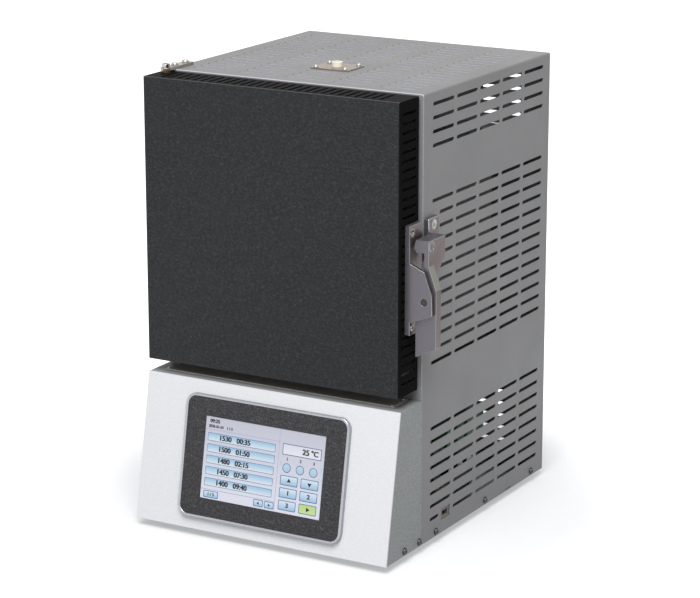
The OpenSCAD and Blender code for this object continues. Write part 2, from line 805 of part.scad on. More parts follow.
module door_slots() {
    mid_x = (door_x0 + door_x1) / 2 + top_slot_shift;
    mid_z = (door_z0 + door_z1) / 2;
    slot_y = (door_y0 + door_y1 - door_slot_l) / 2;
    side_span = (side_slot_count - 1) * door_slot_pitch;
    top_span = (top_slot_count - 1) * door_slot_pitch;
    for (x = [door_x0 - cut, door_x1 - door_sheet - cut]) along_x(x, door_sheet + 2 * cut)
        for (i = [0:side_slot_count - 1])
            translate([slot_y, mid_z - side_span / 2 + i * door_slot_pitch])
                slot_outline(door_slot_l, door_slot_w);
    for (z = [door_z0 - cut, door_z1 - door_sheet - cut]) translate([0, 0, z])
        linear_extrude(door_sheet + 2 * cut) for (i = [0:top_slot_count - 1])
            translate([mid_x - top_span / 2 + i * door_slot_pitch, slot_y]) rotate(90)
                slot_outline(door_slot_l, door_slot_w);
}

module door_shell() {
    mid = [(door_x0 + door_x1) / 2, (door_y0 + door_y1) / 2];
    centred() color("#2a2b2d") difference() {
        translate([mid[0], mid[1], door_z0]) linear_extrude(door_h)
            rounded_outline(door_w, door_t, door_corner);
        block([door_x0 + door_sheet, door_y0 + door_sheet, door_z0 + door_sheet],
              [door_x1 - door_sheet, door_y1 + cut, door_z1 - door_sheet]);
        door_slots();
        for (z = [door_z0 - cut, door_z1 - door_sheet - cut]) translate([hinge_x, hinge_y, z])
            cylinder(d = hinge_pin_d, h = door_sheet + 2 * cut);
    }
}

// Back sheet of the door: a flat border that meets the seal, and a middle pressed into the door.
press_depth = 3;
press_inset = 34;
back_screw_d = 3;
back_head_d = 5.6;
back_screw_inset = 10;

module back_screw_places() {
    x0 = door_x0 + door_sheet + back_screw_inset;
    x1 = door_x1 - door_sheet - back_screw_inset;
    z0 = door_z0 + door_sheet + back_screw_inset + hinge_block_h;
    z1 = door_z1 - door_sheet - back_screw_inset - hinge_block_h;
    for (x = [x0, x1], z = [z0, (z0 + z1) / 2, z1]) translate([x, door_y1, z]) rotate([-90, 0, 0]) children();
}

module door_back() {
    x0 = door_x0 + door_sheet;
    x1 = door_x1 - door_sheet;
    z0 = door_z0 + door_sheet;
    z1 = door_z1 - door_sheet;
    middle = door_y1 - door_sheet - press_depth;
    centred() color("silver") difference() {
        union() {
            block([x0, door_y1 - door_sheet, z0], [x1, door_y1, z1]);
            block([x0 + press_inset, middle, z0 + press_inset], [x1 - press_inset, door_y1, z1 - press_inset]);
        }
        block([x0 + press_inset + door_sheet, middle + door_sheet, z0 + press_inset + door_sheet],
              [x1 - press_inset - door_sheet, door_y1 + cut, z1 - press_inset - door_sheet]);
        back_screw_places() flush_screw(back_screw_d, door_sheet + cut, back_head_d);
    }
}

// Ceramic fibre board inside the door.
board_inset = 22;
board_gap = 5;

module door_insulation() {
    centred() color("white") block([door_x0 + board_inset, door_y0 + door_sheet + board_gap, door_z0 + board_inset],
                                   [door_x1 - board_inset, door_y1 - door_sheet - press_depth, door_z1 - board_inset]);
}

// Countersunk screws of the latch base and of the door's back sheet.
module door_screws() {
    centred() color("tan") {
        for (z = base_screws) translate([base_x1, latch_screw_y, pivot_z + z]) rotate([0, 90, 0])
            flush_screw(5, latch_t, 9.4);
        back_screw_places() flush_screw(back_screw_d, door_sheet + 3, back_head_d);
    }
}

// Latch base: a plate on the door's side with two clevis ears. The rear one ends below the lever's hood.
front_ear = [[latch_t - latch_pivot_x, 39.8], [0.2, 32.3], [9, 8.3], [9.7, -13.9],
             [latch_t - latch_pivot_x, -24.3]];
rear_ear = [[latch_t - latch_pivot_x, 12], [5, 12], [9.3, 5], [9.7, -13.9], [latch_t - latch_pivot_x, -24.3]];
base_screws = [-31, 72];
latch_screw_y = latch_y0 + 5.7;

module latch_base() {
    base_z0 = pivot_z - 38.5;
    centred() color("#615d60") difference() {
        union() {
            block([door_x1, latch_y0, base_z0], [base_x1, latch_y0 + latch_base_w, base_z0 + latch_base_h]);
            along_y(latch_y0, ear_t) translate([pivot_x, pivot_z]) polygon(front_ear);
            along_y(lever_y1 + ear_gap, ear_t) translate([pivot_x, pivot_z]) polygon(rear_ear);
        }
        translate([pivot_x, latch_y0 - cut, pivot_z]) rotate([-90, 0, 0])
            cylinder(d = latch_pin_d, h = latch_base_w + 2);
        for (z = base_screws) translate([base_x1, latch_screw_y, pivot_z + z]) rotate([0, 90, 0])
            flush_screw(5, latch_t + cut, 9.4);
    }
}

module latch_pin() {
    recess = 0.6;
    centred() color("dimgray") translate([pivot_x, latch_y0 + recess, pivot_z]) rotate([-90, 0, 0])
        cylinder(d = latch_pin_d, h = lever_y1 + ear_gap + ear_t - latch_y0 - 2 * recess);
}

// Lever: pressed in at its foot, it swings its head out of the strike.
lever_in = 12.6;
head_x0 = pivot_x - 15.3;

module lever_outline() {
    polygon([[-lever_in, -62.4], [lever_face, -51], [lever_face, 12.5], [2.8, 37.5], [2.8, head_top],
             [-12.8, head_top], [-15.3, 56], [-12.5, 51.5], [-2.8, 51.5], [-2.8, 26], [-lever_in, 14]]);
}

module latch_lever() {
    hood_t = 5.6;
    back_y = 8.5;
    centred() color("#615d60") difference() {
        union() {
            along_y(lever_y0, lever_t) translate([pivot_x, pivot_z]) lever_outline();
            block([head_x0 + 1.9, lever_y1 - cut, pivot_z + head_top - hood_t],
                  [head_x1, back_y, pivot_z + head_top]);
            along_x(head_x1 - hood_t, hood_t)
                polygon([[lever_y1 - cut, pivot_z + 17], [back_y, pivot_z + 42],
                         [back_y, pivot_z + head_top], [lever_y1 - cut, pivot_z + head_top]]);
        }
        translate([pivot_x, lever_y0 - cut, pivot_z]) rotate([-90, 0, 0])
            cylinder(r = latch_pin_d / 2 + pin_play, h = lever_t + 2 * cut);
        translate([pivot_x, lever_y1 - spring_room, pivot_z]) rotate([-90, 0, 0])
            cylinder(d = spring_d + spring_wire + 1.2, h = spring_room + cut);
        translate([head_x1 + cut, stud_y, stud_z]) rotate([0, -90, 0]) cylinder(d = stud_d, h = stud_l + cut);
    }
}

// Stud pressed into the lever's head, flush with its outer face.
stud_d = 11;
stud_l = 15;
stud_y = lever_y0 + 6.2;
stud_z = pivot_z + 58.2;

module latch_stud() {
    centred() color("dimgray") translate([head_x1 - stud_l, stud_y, stud_z]) rotate([0, 90, 0]) rotate_extrude()
        polygon([[0, 0], [stud_d / 2, 0], [stud_d / 2, stud_l - 0.6], [stud_d / 2 - 0.6, stud_l], [0, stud_l]]);
}

// Torsion spring round the pivot pin, in a pocket of the lever.
spring_room = 6;
spring_wire = 1.2;
spring_d = latch_pin_d + spring_wire + 0.2;

module latch_spring() {
    turns = 4;
    centred() color("silver") for (i = [0:turns - 1])
        translate([pivot_x, lever_y1 - spring_room + spring_wire * (i + 0.7), pivot_z]) rotate([90, 0, 0])
            rotate_extrude() translate([spring_d / 2, 0]) circle(d = spring_wire);
}

// Strike plate on the cabinet's side, with a keeper lip inside the lever's head.
strike_screws_z = [40, 8];

module latch_strike() {
    corner = 3;
    mid_y = strike_y0 + strike_w / 2;
    centred() color("#615d60") difference() {
        union() {
            along_x(half_w, strike_t) translate([mid_y, strike_z0 + strike_h / 2])
                rounded_outline(strike_w, strike_h, corner);
            block([half_w + strike_t - cut, strike_y0, strike_z0 + 12],
                  [half_w + strike_t + 6, strike_y0 + 4.5, strike_z0 + 24]);
        }
        for (z = strike_screws_z) translate([half_w + strike_t, mid_y, strike_z0 + z]) rotate([0, 90, 0])
            flush_screw(5, strike_t + cut, 9.4);
    }
}

module strike_screws() {
    centred() color("tan") for (z = strike_screws_z)
        translate([half_w + strike_t, strike_y0 + strike_w / 2, strike_z0 + z]) rotate([0, 90, 0])
            flush_screw(5, strike_t, 9.4);
}

// Console housing: side walls and ledge, closed in front by the fascia.
module console_housing() {
    wall = [[-toe_d + fascia_run, base_z], [-ledge_d + fascia_run, ledge_z], [0, ledge_z], [0, base_z]];
    centred() color("darkgray") difference() {
        union() {
            for (x = [-half_w, half_w - sheet_t]) along_x(x, sheet_t) polygon(wall);
            along_x(-half_w, cabinet_w) polygon([[-ledge_d + fascia_run, ledge_z], [0, ledge_z],
                [0, ledge_z - sheet_t], [-ledge_d + fascia_run - sheet_t * tan(slope_angle), ledge_z - sheet_t]]);
        }
        for (side = [-1, 1], y = console_screws_y)
            translate([side * half_w, y, side_screw_z]) rotate([0, 90, 0])
                cylinder(d = screw_d + 0.4, h = 4 * sheet_t, center = true);
        ledge_screw_places() translate([0, 0, ledge_z - 3]) cylinder(d = 2, h = 6);
    }
}

// Objects on the sloping front: local Z points out of it, local Y up along it.
module on_slope() {
    translate([0, -(toe_d + ledge_d) / 2, base_z + console_h / 2]) rotate([90 - slope_angle, 0, 0]) children();
}

window_w = panel_w - 16;
window_h = panel_h - 16;

module front_fascia() {
    centred() color("white") difference() {
        along_x(-half_w, cabinet_w)
            polygon([[-toe_d, base_z], [-ledge_d, ledge_z], [-ledge_d + fascia_run, ledge_z],
                     [-toe_d + fascia_run, base_z]]);
        on_slope() translate([0, 0, -2 * fascia_t]) linear_extrude(4 * fascia_t)
            rounded_outline(window_w, window_h, 4);
    }
}

// Polished plate screwed on the ledge.
module ledge_plate() {
    centred() color("silver") difference() {
        translate([ledge_plate_x, -ledge_plate_d / 2 - 0.5, ledge_z]) linear_extrude(ledge_plate_t)
            square([ledge_plate_w, ledge_plate_d], center = true);
        ledge_screw_places() translate([0, 0, ledge_z - cut]) cylinder(d = 2, h = 3);
    }
}

// Touch panel: metal rim, dark bezel, glass and the case behind the fascia.
bezel_recess = 0.6;
glass_t = 1.1;

module panel_rim() {
    centred() color("gainsboro") on_slope() linear_extrude(panel_proud) difference() {
        rounded_outline(panel_w, panel_h, rim_r);
        rounded_outline(panel_w - 2 * rim_w, panel_h - 2 * rim_w, rim_r - rim_w);
    }
}

module panel_bezel() {
    centred() color("#484848") on_slope() linear_extrude(panel_proud - bezel_recess) difference() {
        rounded_outline(panel_w - 2 * rim_w, panel_h - 2 * rim_w, rim_r - rim_w);
        square([screen_w, screen_h], center = true);
    }
}

module touch_screen() {
    depth = panel_proud - bezel_recess - 0.5;
    centred() color("aliceblue") on_slope() translate([-screen_w / 2, -screen_h / 2, depth - glass_t])
        cube([screen_w, screen_h, glass_t]);
}

module panel_body() {
    case_d = 32;
    depth = panel_proud - bezel_recess - 0.5 - glass_t;
    centred() color("#333333") on_slope() {
        translate([-screen_w / 2, -screen_h / 2, 0]) cube([screen_w, screen_h, depth]);
        translate([0, 0, -case_d]) linear_extrude(case_d) rounded_outline(window_w - 1, window_h - 1, 3.5);
    }
}

// Control board on standoffs beside the right cover.
board_w = 110;
board_h = 92;
board_t = 1.6;
board_side = 26;
board_y = 74;
board_foot = 26;
relay_w = 16;
relay_pitch = 24;
relay_h = 13.4;
capacitor_d = 13;
capacitor_h = 12;
capacitor_pitch = 22;
standoff_l = 10;

module circuit_board() {
    board_x = half_w - board_side;
    face_x = board_x + board_t;
    z0 = base_z + board_foot;
    centred() color("seagreen") {
        block([board_x, board_y, z0], [face_x, board_y + board_w, z0 + board_h]);
        for (i = [0:3], y = board_y + 8 + i * relay_pitch)
            block([face_x, y, z0 + 60], [face_x + relay_h, y + relay_w, z0 + 80]);
        for (i = [0:2]) translate([face_x, board_y + 20 + i * capacitor_pitch, z0 + 30]) rotate([0, 90, 0])
            cylinder(d = capacitor_d, h = capacitor_h);
        block([face_x, board_y + 6, z0 + 5], [face_x + 9.4, board_y + 80, z0 + 13]);
        for (y = [4, board_w - 4], z = [4, board_h - 4])
            translate([board_x - standoff_l, board_y + y, z0 + z]) rotate([0, 90, 0])
                cylinder(d = 6, h = standoff_l, $fn = 6);
        block([board_x - standoff_l - 3, board_y - 2, base_z + sheet_t],
              [board_x - standoff_l, board_y + board_w + 2, z0 + board_h]);
    }
}

// Element transformer on the base pan, behind the actuator: a laminated core with a coil on its tongue.
core_w = 92;
core_d = 70;
core_h = 84;
core_limb = 14;
core_window = 24;
coil_reach = 14;
coil_play = 0.2;
transformer_side = 28;
transformer_gap = 13;

module transformer() {
    tongue = core_w - 2 * core_limb - 2 * core_window;
    edge = core_limb + coil_play;
    y0 = chamber_y + gear_d / 2 + transformer_gap + coil_reach;
    centred() color("#4a4640") translate([transformer_side - half_w, y0, base_z + sheet_t]) {
        difference() {
            cube([core_w, core_d, core_h]);
            for (x = [core_limb, core_limb + core_window + tongue]) translate([x, -cut, core_limb])
                cube([core_window, core_d + 1, core_h - 2 * core_limb]);
        }
        translate([edge, -coil_reach, edge]) difference() {
            cube([core_w - 2 * edge, core_d + 2 * coil_reach, core_h - 2 * edge]);
            translate([core_window - coil_play, coil_reach, -cut]) cube([tongue, core_d, core_h]);
        }
    }
}

// Linear actuator that carries the hearth: a tube on a gearbox, with a motor beside it.
actuator_d = 44;
actuator_floor = 12;
gear_left = 80;
gear_right = 30;
gear_d = 52;
gear_h = 34;
motor_x = -56;
motor_d = 38;
motor_h = 78;

module lift_actuator() {
    z0 = base_z + sheet_t;
    tube_top_z = ledge_z - sheet_t;
    centred() color("#3c3f43") translate([0, chamber_y, 0]) difference() {
        union() {
            block([-gear_left, -gear_d / 2, z0], [gear_right, gear_d / 2, z0 + gear_h]);
            translate([0, 0, z0]) cylinder(d = actuator_d, h = tube_top_z - z0);
            translate([motor_x, 0, z0 + gear_h]) cylinder(d = motor_d, h = motor_h);
        }
        translate([0, 0, z0 + actuator_floor])
            cylinder(d = lift_rod_d + 8, h = tube_top_z - z0 - 2 * actuator_floor);
        translate([0, 0, z0 + actuator_floor]) cylinder(r = lift_rod_d / 2 + pin_play, h = tube_top_z);
    }
}

module lift_rod() {
    foot_z = base_z + sheet_t + actuator_floor + 2;
    centred() color("gainsboro") translate([0, chamber_y, foot_z]) cylinder(d = lift_rod_d, h = carrier_z - foot_z);
}

module guide_rods() {
    z0 = ledge_z - sheet_t;
    centred() color("gainsboro") for (side = [-1, 1])
        translate([side * guide_span / 2, chamber_y, z0]) cylinder(d = guide_rod_d, h = casing_z0 + sheet_t - z0);
}

// Carrier plate of the hearth, with its bushes on the guide rods.
bush_d = guide_rod_d + 6;
bush_flange_d = bush_d + 6;
bush_h = 18;
carrier_edge = 14;
carrier_d = 100;

module hearth_carrier() {
    centred() color("silver") difference() {
        block([-guide_span / 2 - carrier_edge, chamber_y - carrier_d / 2, carrier_z],
              [guide_span / 2 + carrier_edge, chamber_y + carrier_d / 2, carrier_z + carrier_t]);
        for (side = [-1, 1]) translate([side * guide_span / 2, chamber_y, carrier_z - cut])
            cylinder(d = bush_d, h = carrier_t + 1);
    }
}

module guide_bushes() {
    centred() color("goldenrod") for (side = [-1, 1])
        translate([side * guide_span / 2, chamber_y, carrier_z]) difference() {
            union() {
                cylinder(d = bush_d, h = bush_h);
                translate([0, 0, carrier_t]) cylinder(d = bush_flange_d, h = 3);
            }
            translate([0, 0, -cut]) cylinder(r = guide_rod_d / 2 + pin_play, h = bush_h + 1);
        }
}

// Fibre plug that closes the chamber from below, and the hearth plate on it.
plug_gap = 14;
plug_w = guide_span - bush_flange_d - 2 * plug_gap;

module hearth_plug() {
    centred() color("white") translate([0, chamber_y, plug_z]) {
        linear_extrude(plug_t) rounded_outline(plug_w, plug_w, 6);
        translate([0, 0, plug_t]) cylinder(d = hearth_d + 6, h = plug_step);
    }
}

module hearth_plate() {
    centred() color("ivory") translate([0, chamber_y, hearth_z]) cylinder(d = hearth_d, h = hearth_t);
}

// Cooling fan behind the rear panel.
module fan_frame() {
    ring_d = fan_w - 5;
    centred() color("#222222") translate([0, rear_y, base_z + fan_z]) rotate([90, 0, 0]) {
        difference() {
            linear_extrude(fan_depth) difference() {
                rounded_outline(fan_w, fan_w, 4);
                circle(d = ring_d);
                for (x = [-1, 1], y = [-1, 1]) translate([x, y] * fan_hole_x) circle(d = screw_d);
            }
        }
        linear_extrude(3) for (turn = [0:120:240]) rotate(turn + 30) translate([18, -3]) square([ring_d / 2 - 17, 6]);
        difference() {
            cylinder(d = 40, h = 4);
            translate([0, 0, -cut]) cylinder(r = axle_d / 2 + pin_play, h = 5);
        }
    }
}
axle_d = 4;

module fan_rotor() {
    blade_r = fan_w / 2 - 5;
    centred() color("#2a2a2a") translate([0, rear_y, base_z + fan_z]) rotate([90, 0, 0]) {
        cylinder(d = axle_d, h = 8);
        difference() {
            translate([0, 0, 5]) cylinder(d = 42, h = fan_depth - 7);
            translate([0, 0, 5 - cut]) cylinder(d = 38, h = 2);
        }
        intersection() {
            translate([0, 0, 5.5]) cylinder(r = blade_r, h = fan_depth - 8);
            for (turn = [0:360 / 7:359]) rotate(turn) translate([19, 0, fan_depth / 2 + 1.5]) rotate([38, 0, 0])
                translate([0, -0.9, -13]) cube([blade_r, 1.8, 26]);
        }
    }
}

// Power inlet, breaker and port.
module power_inlet() {
    centred() color("#1c1c1c") translate([inlet_x, rear_y + sheet_t, power_z]) rotate([90, 0, 0]) difference() {
        union() {
            translate([0, 0, -2.4]) linear_extrude(2.4) rounded_outline(inlet_w + 20, inlet_h + 6, 3);
            linear_extrude(26) square([inlet_w - 0.4, inlet_h - 0.4], center = true);
        }
        translate([0, 0, -3]) linear_extrude(19) rounded_outline(inlet_w - 5, inlet_h - 6, 2);
    }
}

pole_d = 2;

module breaker_body() {
    centred() color("#1c1c1c") translate([breaker_x, rear_y + sheet_t, power_z]) rotate([90, 0, 0]) difference() {
        union() {
            translate([0, 0, -1.6]) linear_extrude(1.6) square([breaker_w + 5, breaker_h + 5], center = true);
            linear_extrude(34) square([breaker_w - 0.4, breaker_h - 0.4], center = true);
        }
        translate([0, 0, -2]) linear_extrude(14) square([rocker_w + 0.8, rocker_h + 3], center = true);
        translate([0, 0, 4]) rotate([0, 90, 0]) cylinder(r = pole_d / 2 + pin_play, h = breaker_w - 2, center = true);
    }
}

module breaker_rocker() {
    swing = rocker_h / 2;
    centred() color("firebrick") translate([breaker_x, rocker_y, power_z]) rotate([-rocker_tilt, 0, 0]) {
        along_x(-rocker_w / 2, rocker_w)
            polygon([[-4, -5], [-4, 5], [0.5, swing], [rocker_reach, swing], [2.6, 0], [rocker_reach, -swing], [0.5, -swing]]);
        rotate([0, 90, 0]) cylinder(d = pole_d, h = breaker_w - 3, center = true);
    }
}

module usb_port() {
    port_x = half_w - sheet_t;
    centred() color("#202020") translate([port_x, port_y, port_z]) difference() {
        union() {
            translate([-3, -port_w / 2 - port_flange, -port_h / 2 - port_flange])
                cube([3, port_w + 2 * port_flange, port_h + 2 * port_flange]);
            translate([-18, -7.5, -4]) cube([15, 15, 8]);
        }
        translate([-12, -6.2, -2.6]) cube([13, 12.4, 5.2]);
    }
}

base_pan();
rubber_feet();
outer_cover();
rear_panel();
front_frame();
lower_deck();
upper_deck();
bay_liner();
door_gasket();
cover_screws();
vent_plate();
plate_screws();
vent_tube();
chamber_casing();
insulation_front();
insulation_rear();
insulation_roof();
heating_elements();
element_holders();
element_clamps();
terminal_board();
thermocouple();
lift_actuator();
guide_rods();
hinge_strap_top();
hinge_strap_bottom();
latch_strike();
strike_screws();
console_housing();
front_fascia();
ledge_plate();
panel_rim();
panel_bezel();
touch_screen();
panel_body();
circuit_board();
transformer();
power_inlet();
breaker_body();
usb_port();
fan_frame();
door_shell();
door_back();
door_insulation();
hinge_blocks();
hinge_pins();
hinge_washers();
latch_base();
door_screws();
latch_pin();
latch_spring();
latch_lever();
latch_stud();
lift_rod();
hearth_carrier();
guide_bushes();
hearth_plug();
hearth_plate();
fan_rotor();
breaker_rocker();
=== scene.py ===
# %% [markdown]
# # A benchtop sintering furnace, dressed
# The frame brings in every part at its real size and place. This script gives each of them the surface
# of the real one, rounds the edges that catch the light, and adds the small things that are too fine
# for the frame, such as the cross in a screw's head and the page on the touch screen.

# %% Load the frame
import json
import math

import bpy
from mathutils import Matrix, Vector


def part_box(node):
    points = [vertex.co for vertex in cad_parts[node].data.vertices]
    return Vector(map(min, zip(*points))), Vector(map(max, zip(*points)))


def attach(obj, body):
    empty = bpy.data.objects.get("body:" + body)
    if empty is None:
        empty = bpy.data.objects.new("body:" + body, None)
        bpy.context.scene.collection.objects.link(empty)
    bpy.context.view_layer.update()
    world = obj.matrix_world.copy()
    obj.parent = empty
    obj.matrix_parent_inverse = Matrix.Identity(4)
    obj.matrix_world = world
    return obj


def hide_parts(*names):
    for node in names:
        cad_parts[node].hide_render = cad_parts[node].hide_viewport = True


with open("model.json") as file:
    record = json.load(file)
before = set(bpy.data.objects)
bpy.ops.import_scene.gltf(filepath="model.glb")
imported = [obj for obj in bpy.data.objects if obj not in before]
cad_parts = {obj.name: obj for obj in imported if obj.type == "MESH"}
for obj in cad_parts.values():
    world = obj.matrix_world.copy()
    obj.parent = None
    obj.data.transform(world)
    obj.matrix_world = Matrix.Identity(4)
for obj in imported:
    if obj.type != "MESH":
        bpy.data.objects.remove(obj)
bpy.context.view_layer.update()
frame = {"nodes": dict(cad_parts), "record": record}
MM = 0.001
node_body = {name: body for body, names in frame["record"]["behaviour"]["bodies"].items() for name in names}
node_slot = {row["node"]: row["material_slot"] for row in frame["record"]["subparts"]}

# %% [markdown]
# ## Where things are
# The cabinet's lower front edge, at the middle of its width, is a handy point to measure from. It is
# worked out from the boxes of the parts, so nothing here has to be fitted by eye.

# %% The cabinet's own corner
front_low, front_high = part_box("front_frame")
pan_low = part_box("base_pan")[0]
SHEET = front_high.y - front_low.y
middle_x = (front_low.x + front_high.x) / 2
cabinet = Vector((middle_x, front_low.y - SHEET, pan_low.z))
print("cabinet corner", [round(v / MM, 2) for v in cabinet], "mm, sheet", round(SHEET / MM, 2), "mm")

# %% [markdown]
# ## The camera
# A long lens far away keeps upright edges nearly parallel, as in a catalogue picture. The camera stands
# to the right of the door, a little above the top, and looks slightly down. With a long lens the
# distance matters as much as the angle, so both come from the edges of the real object in its picture.

# %% Make the camera
CAMERA_PLACE = Vector((1413.4, -2345.9, 988.6)) * MM
CAMERA_TURN = 29.77
CAMERA_DROP = 14.96
bpy.ops.object.camera_add(location=cabinet + CAMERA_PLACE,
                          rotation=(math.radians(90 - CAMERA_DROP), 0, math.radians(CAMERA_TURN)))
camera = bpy.context.object
camera.name = "camera"
camera.data.lens = 133.33
camera.data.sensor_width = 36
camera.data.clip_end = 50
bpy.context.scene.camera = camera
print("camera", [round(v, 3) for v in camera.location])

# %% [markdown]
# ## Two helpers for materials
# Paint charts and pictures give colours as sRGB hex values, and a shader works in linear light, so one
# function turns them round. A node tree grows node by node, and one small function adds a node with its
# settings and its links, which keeps each material short enough to read.

# %% Colour and node helpers
def colour(text):
    """A hex value such as 8f918f as linear red, green, blue and a full alpha."""
    values = [int(text[i:i + 2], 16) / 255 for i in (0, 2, 4)]
    return [v / 12.92 if v <= 0.04045 else ((v + 0.055) / 1.055) ** 2.4 for v in values] + [1.0]


def node(tree, kind, inputs=None, **settings):
    """Adds a shader node. Each input is a value, or an output of another node to link from."""
    made = tree.nodes.new("ShaderNode" + kind)
    for name, value in settings.items():
        setattr(made, name, value)
    for name, value in (inputs or {}).items():
        if isinstance(value, bpy.types.NodeSocket):
            tree.links.new(value, made.inputs[name])
        else:
            made.inputs[name].default_value = value
    return made


def finish(name, roughness, metallic=0.0, ior=1.5):
    """A new material with its shader. The constants go straight on the shader's own sockets."""
    made = bpy.data.materials.new(name)
    made.use_nodes = True
    shader = made.node_tree.nodes["Principled BSDF"]
    shader.inputs["Roughness"].default_value = roughness
    shader.inputs["Metallic"].default_value = metallic
    shader.inputs["IOR"].default_value = ior
    return made, made.node_tree, shader


def grain(tree, size_mm, stretch=(1, 1, 1), turn=(0, 0, 0), detail=3.0):
    """A noise whose features are size_mm across on the object, stretched and turned if need be."""
    place = node(tree, "TexCoord").outputs["Object"]
    turned = node(tree, "Mapping", {"Vector": place, "Rotation": [math.radians(a) for a in turn]})
    spread = node(tree, "Mapping", {"Vector": turned.outputs["Vector"], "Scale": stretch})
    return node(tree, "TexNoise", {"Vector": spread.outputs["Vector"], "Scale": 1 / (size_mm * MM),
                                   "Detail": detail, "Roughness": 0.55}).outputs["Fac"]


def tint(tree, shader, factor, low, high, start=0.3, end=0.7):
    """The base colour runs from one hex value to another as the factor rises."""
    ramp = node(tree, "ValToRGB", {"Fac": factor})
    ramp.color_ramp.elements[0].position = start
    ramp.color_ramp.elements[1].position = end
    ramp.color_ramp.elements[0].color = colour(low)
    ramp.color_ramp.elements[1].color = colour(high)
    tree.links.new(ramp.outputs["Color"], shader.inputs["Base Color"])
    return ramp.outputs["Color"]


def relief(tree, shader, factor, height_mm, below=None):
    """Raises the surface by the factor, on top of a coarser relief if one is given."""
    inputs = {"Height": factor, "Distance": height_mm * MM, "Strength": 1.0}
    if below is not None:
        inputs["Normal"] = below
    made = node(tree, "Bump", inputs).outputs["Normal"]
    tree.links.new(made, shader.inputs["Normal"])
    return made


def sheen_range(tree, shader, factor, low, high):
    """Roughness between two values, so that a highlight breaks up as on a real surface."""
    spread = node(tree, "MapRange", {"Value": factor, "From Min": 0.3, "From Max": 0.7,
                                     "To Min": low, "To Max": high})
    tree.links.new(spread.outputs["Result"], shader.inputs["Roughness"])


# %% [markdown]
# ## Painted sheet steel
# The cabinet is powder coated: dry powder is sprayed on and melts into a film with a faint pebbled skin.
# The console's side was coated with a coarser powder, whose specks show as a fine salt-and-pepper grain.
# The fascia is a smoother white coat. Noise at the size of the real pebbles gives each its skin. Pale
# coats of their own are painted highlights on the folds and on the door's front edge, and painted light
# on the far walls of slots.
# The door's rim is gloss black enamel. Seen at a flat angle it would mirror the white room, which the
# real one does not, so its specular level is close to nought.

# %% Powder coats
def powder_coat(name, dark, light, speck_mm, height_mm, roughness, specular=0.3):
    """A sprayed film: small specks over a coarser pebbled skin, both as deep as height_mm says."""
    made, tree, shader = finish(name, roughness)
    shader.inputs["Specular IOR Level"].default_value = specular
    specks = grain(tree, speck_mm, detail=2.0)
    tint(tree, shader, specks, dark, light)
    relief(tree, shader, specks, height_mm, relief(tree, shader, grain(tree, speck_mm * 5), height_mm * 2))
    sheen_range(tree, shader, grain(tree, 60), roughness - 0.05, roughness + 0.05)
    return made


smooth_grey_powder_coat = powder_coat("smooth_grey_powder_coat", "7d7d7e", "858586", 0.8, 0.02, 0.48)
coarse_grey_powder_coat = powder_coat("coarse_grey_powder_coat", "797c7d", "9da0a1", 1.0, 0.06, 0.5)
white_powder_coat = powder_coat("white_powder_coat", "d8d9dc", "e0e1e4", 1.6, 0.05, 0.4)
gloss_black_enamel = powder_coat("gloss_black_enamel", "141414", "1b1b1b", 2.0, 0.002, 0.1, 0.001)
# A paler coat for the door's rounded front edge: a painted highlight.
painted_highlight_door_edge = powder_coat("painted_highlight_door_edge", "4c4e51", "626467", 0.8, 0.02, 0.35)
# A pale glossy coat for the cover's top fold: a painted highlight line.
fold_highlight_coat = powder_coat("fold_highlight_coat", "b4b4bc", "c4c4cc", 1.0, 0.01, 0.22, 0.5)
# A speckled paler coat for the cover's side folds: a painted highlight.
side_fold_highlight_coat = powder_coat("side_fold_highlight_coat", "77777a", "a6a6ab", 1.1, 0.02, 0.3, 0.4)
# A pale coat for the far walls of the roof's slots: painted light, as if lit from the front.
painted_light_slot_wall = powder_coat("painted_light_slot_wall", "bdbdc8", "cfcfda", 1.2, 0.01, 0.3, 0.4)

# %% [markdown]
# The door has a grained coat: a thick dark paint that wrinkles into slanting flakes as it cures, a few
# millimetres long. The flakes come from a noise that is turned in the door's plane and pressed together
# across the turned direction, and a finer one breaks them up. Their tips catch the light, so the relief
# is strong and the roughness moderate. Dark paint mirrors little, which the low specular level gives.
# The plastic of the panel's bezel is moulded with a finer and steeper grain of the same kind.

# %% The grained coats
def grained_coat(name, dark, light, length_mm, height_mm, roughness, slant, specular=0.16):
    """Flakes of a length in millimetres, which slant by an angle in degrees, with finer ones on them."""
    made, tree, shader = finish(name, roughness)
    shader.inputs["Specular IOR Level"].default_value = specular
    flakes = grain(tree, length_mm, stretch=(1, 1, 4.0), turn=(0, slant, 0), detail=1.5)
    fine = grain(tree, length_mm / 3, stretch=(1, 1, 2.2), turn=(0, slant, 0))
    tint(tree, shader, flakes, dark, light, 0.5, 0.76)
    relief(tree, shader, fine, height_mm / 3, relief(tree, shader, flakes, height_mm))
    sheen_range(tree, shader, grain(tree, 12), roughness - 0.06, roughness + 0.08)
    return made


grained_black_coat = grained_coat("grained_black_coat", "1e1f21", "3c3d40", 4.2, 1.0, 0.36, -28)
grained_bezel_plastic = grained_coat("grained_bezel_plastic", "2f2f31", "646467", 2.4, 0.9, 0.4, -40)

# %% [markdown]
# ## Bare and plated metals
# Stainless sheet is brushed in one direction, which leaves long faint scratches. Zinc plated sheet shows
# large pale crystals. The latch is steel with a dark oxide skin over a half polished surface. Its outer
# side is painted darker and browner, as painted shade and painted reflection, its slopes are painted
# paler as painted light, and its edges carry a painted highlight. An oxide skin mirrors less than bare
# metal, so those materials are only partly metallic. The cover's screws are black nickel: dark, with one
# sharp glint. A metal keeps the default IOR: its look comes from its colour, its roughness and what it
# mirrors.

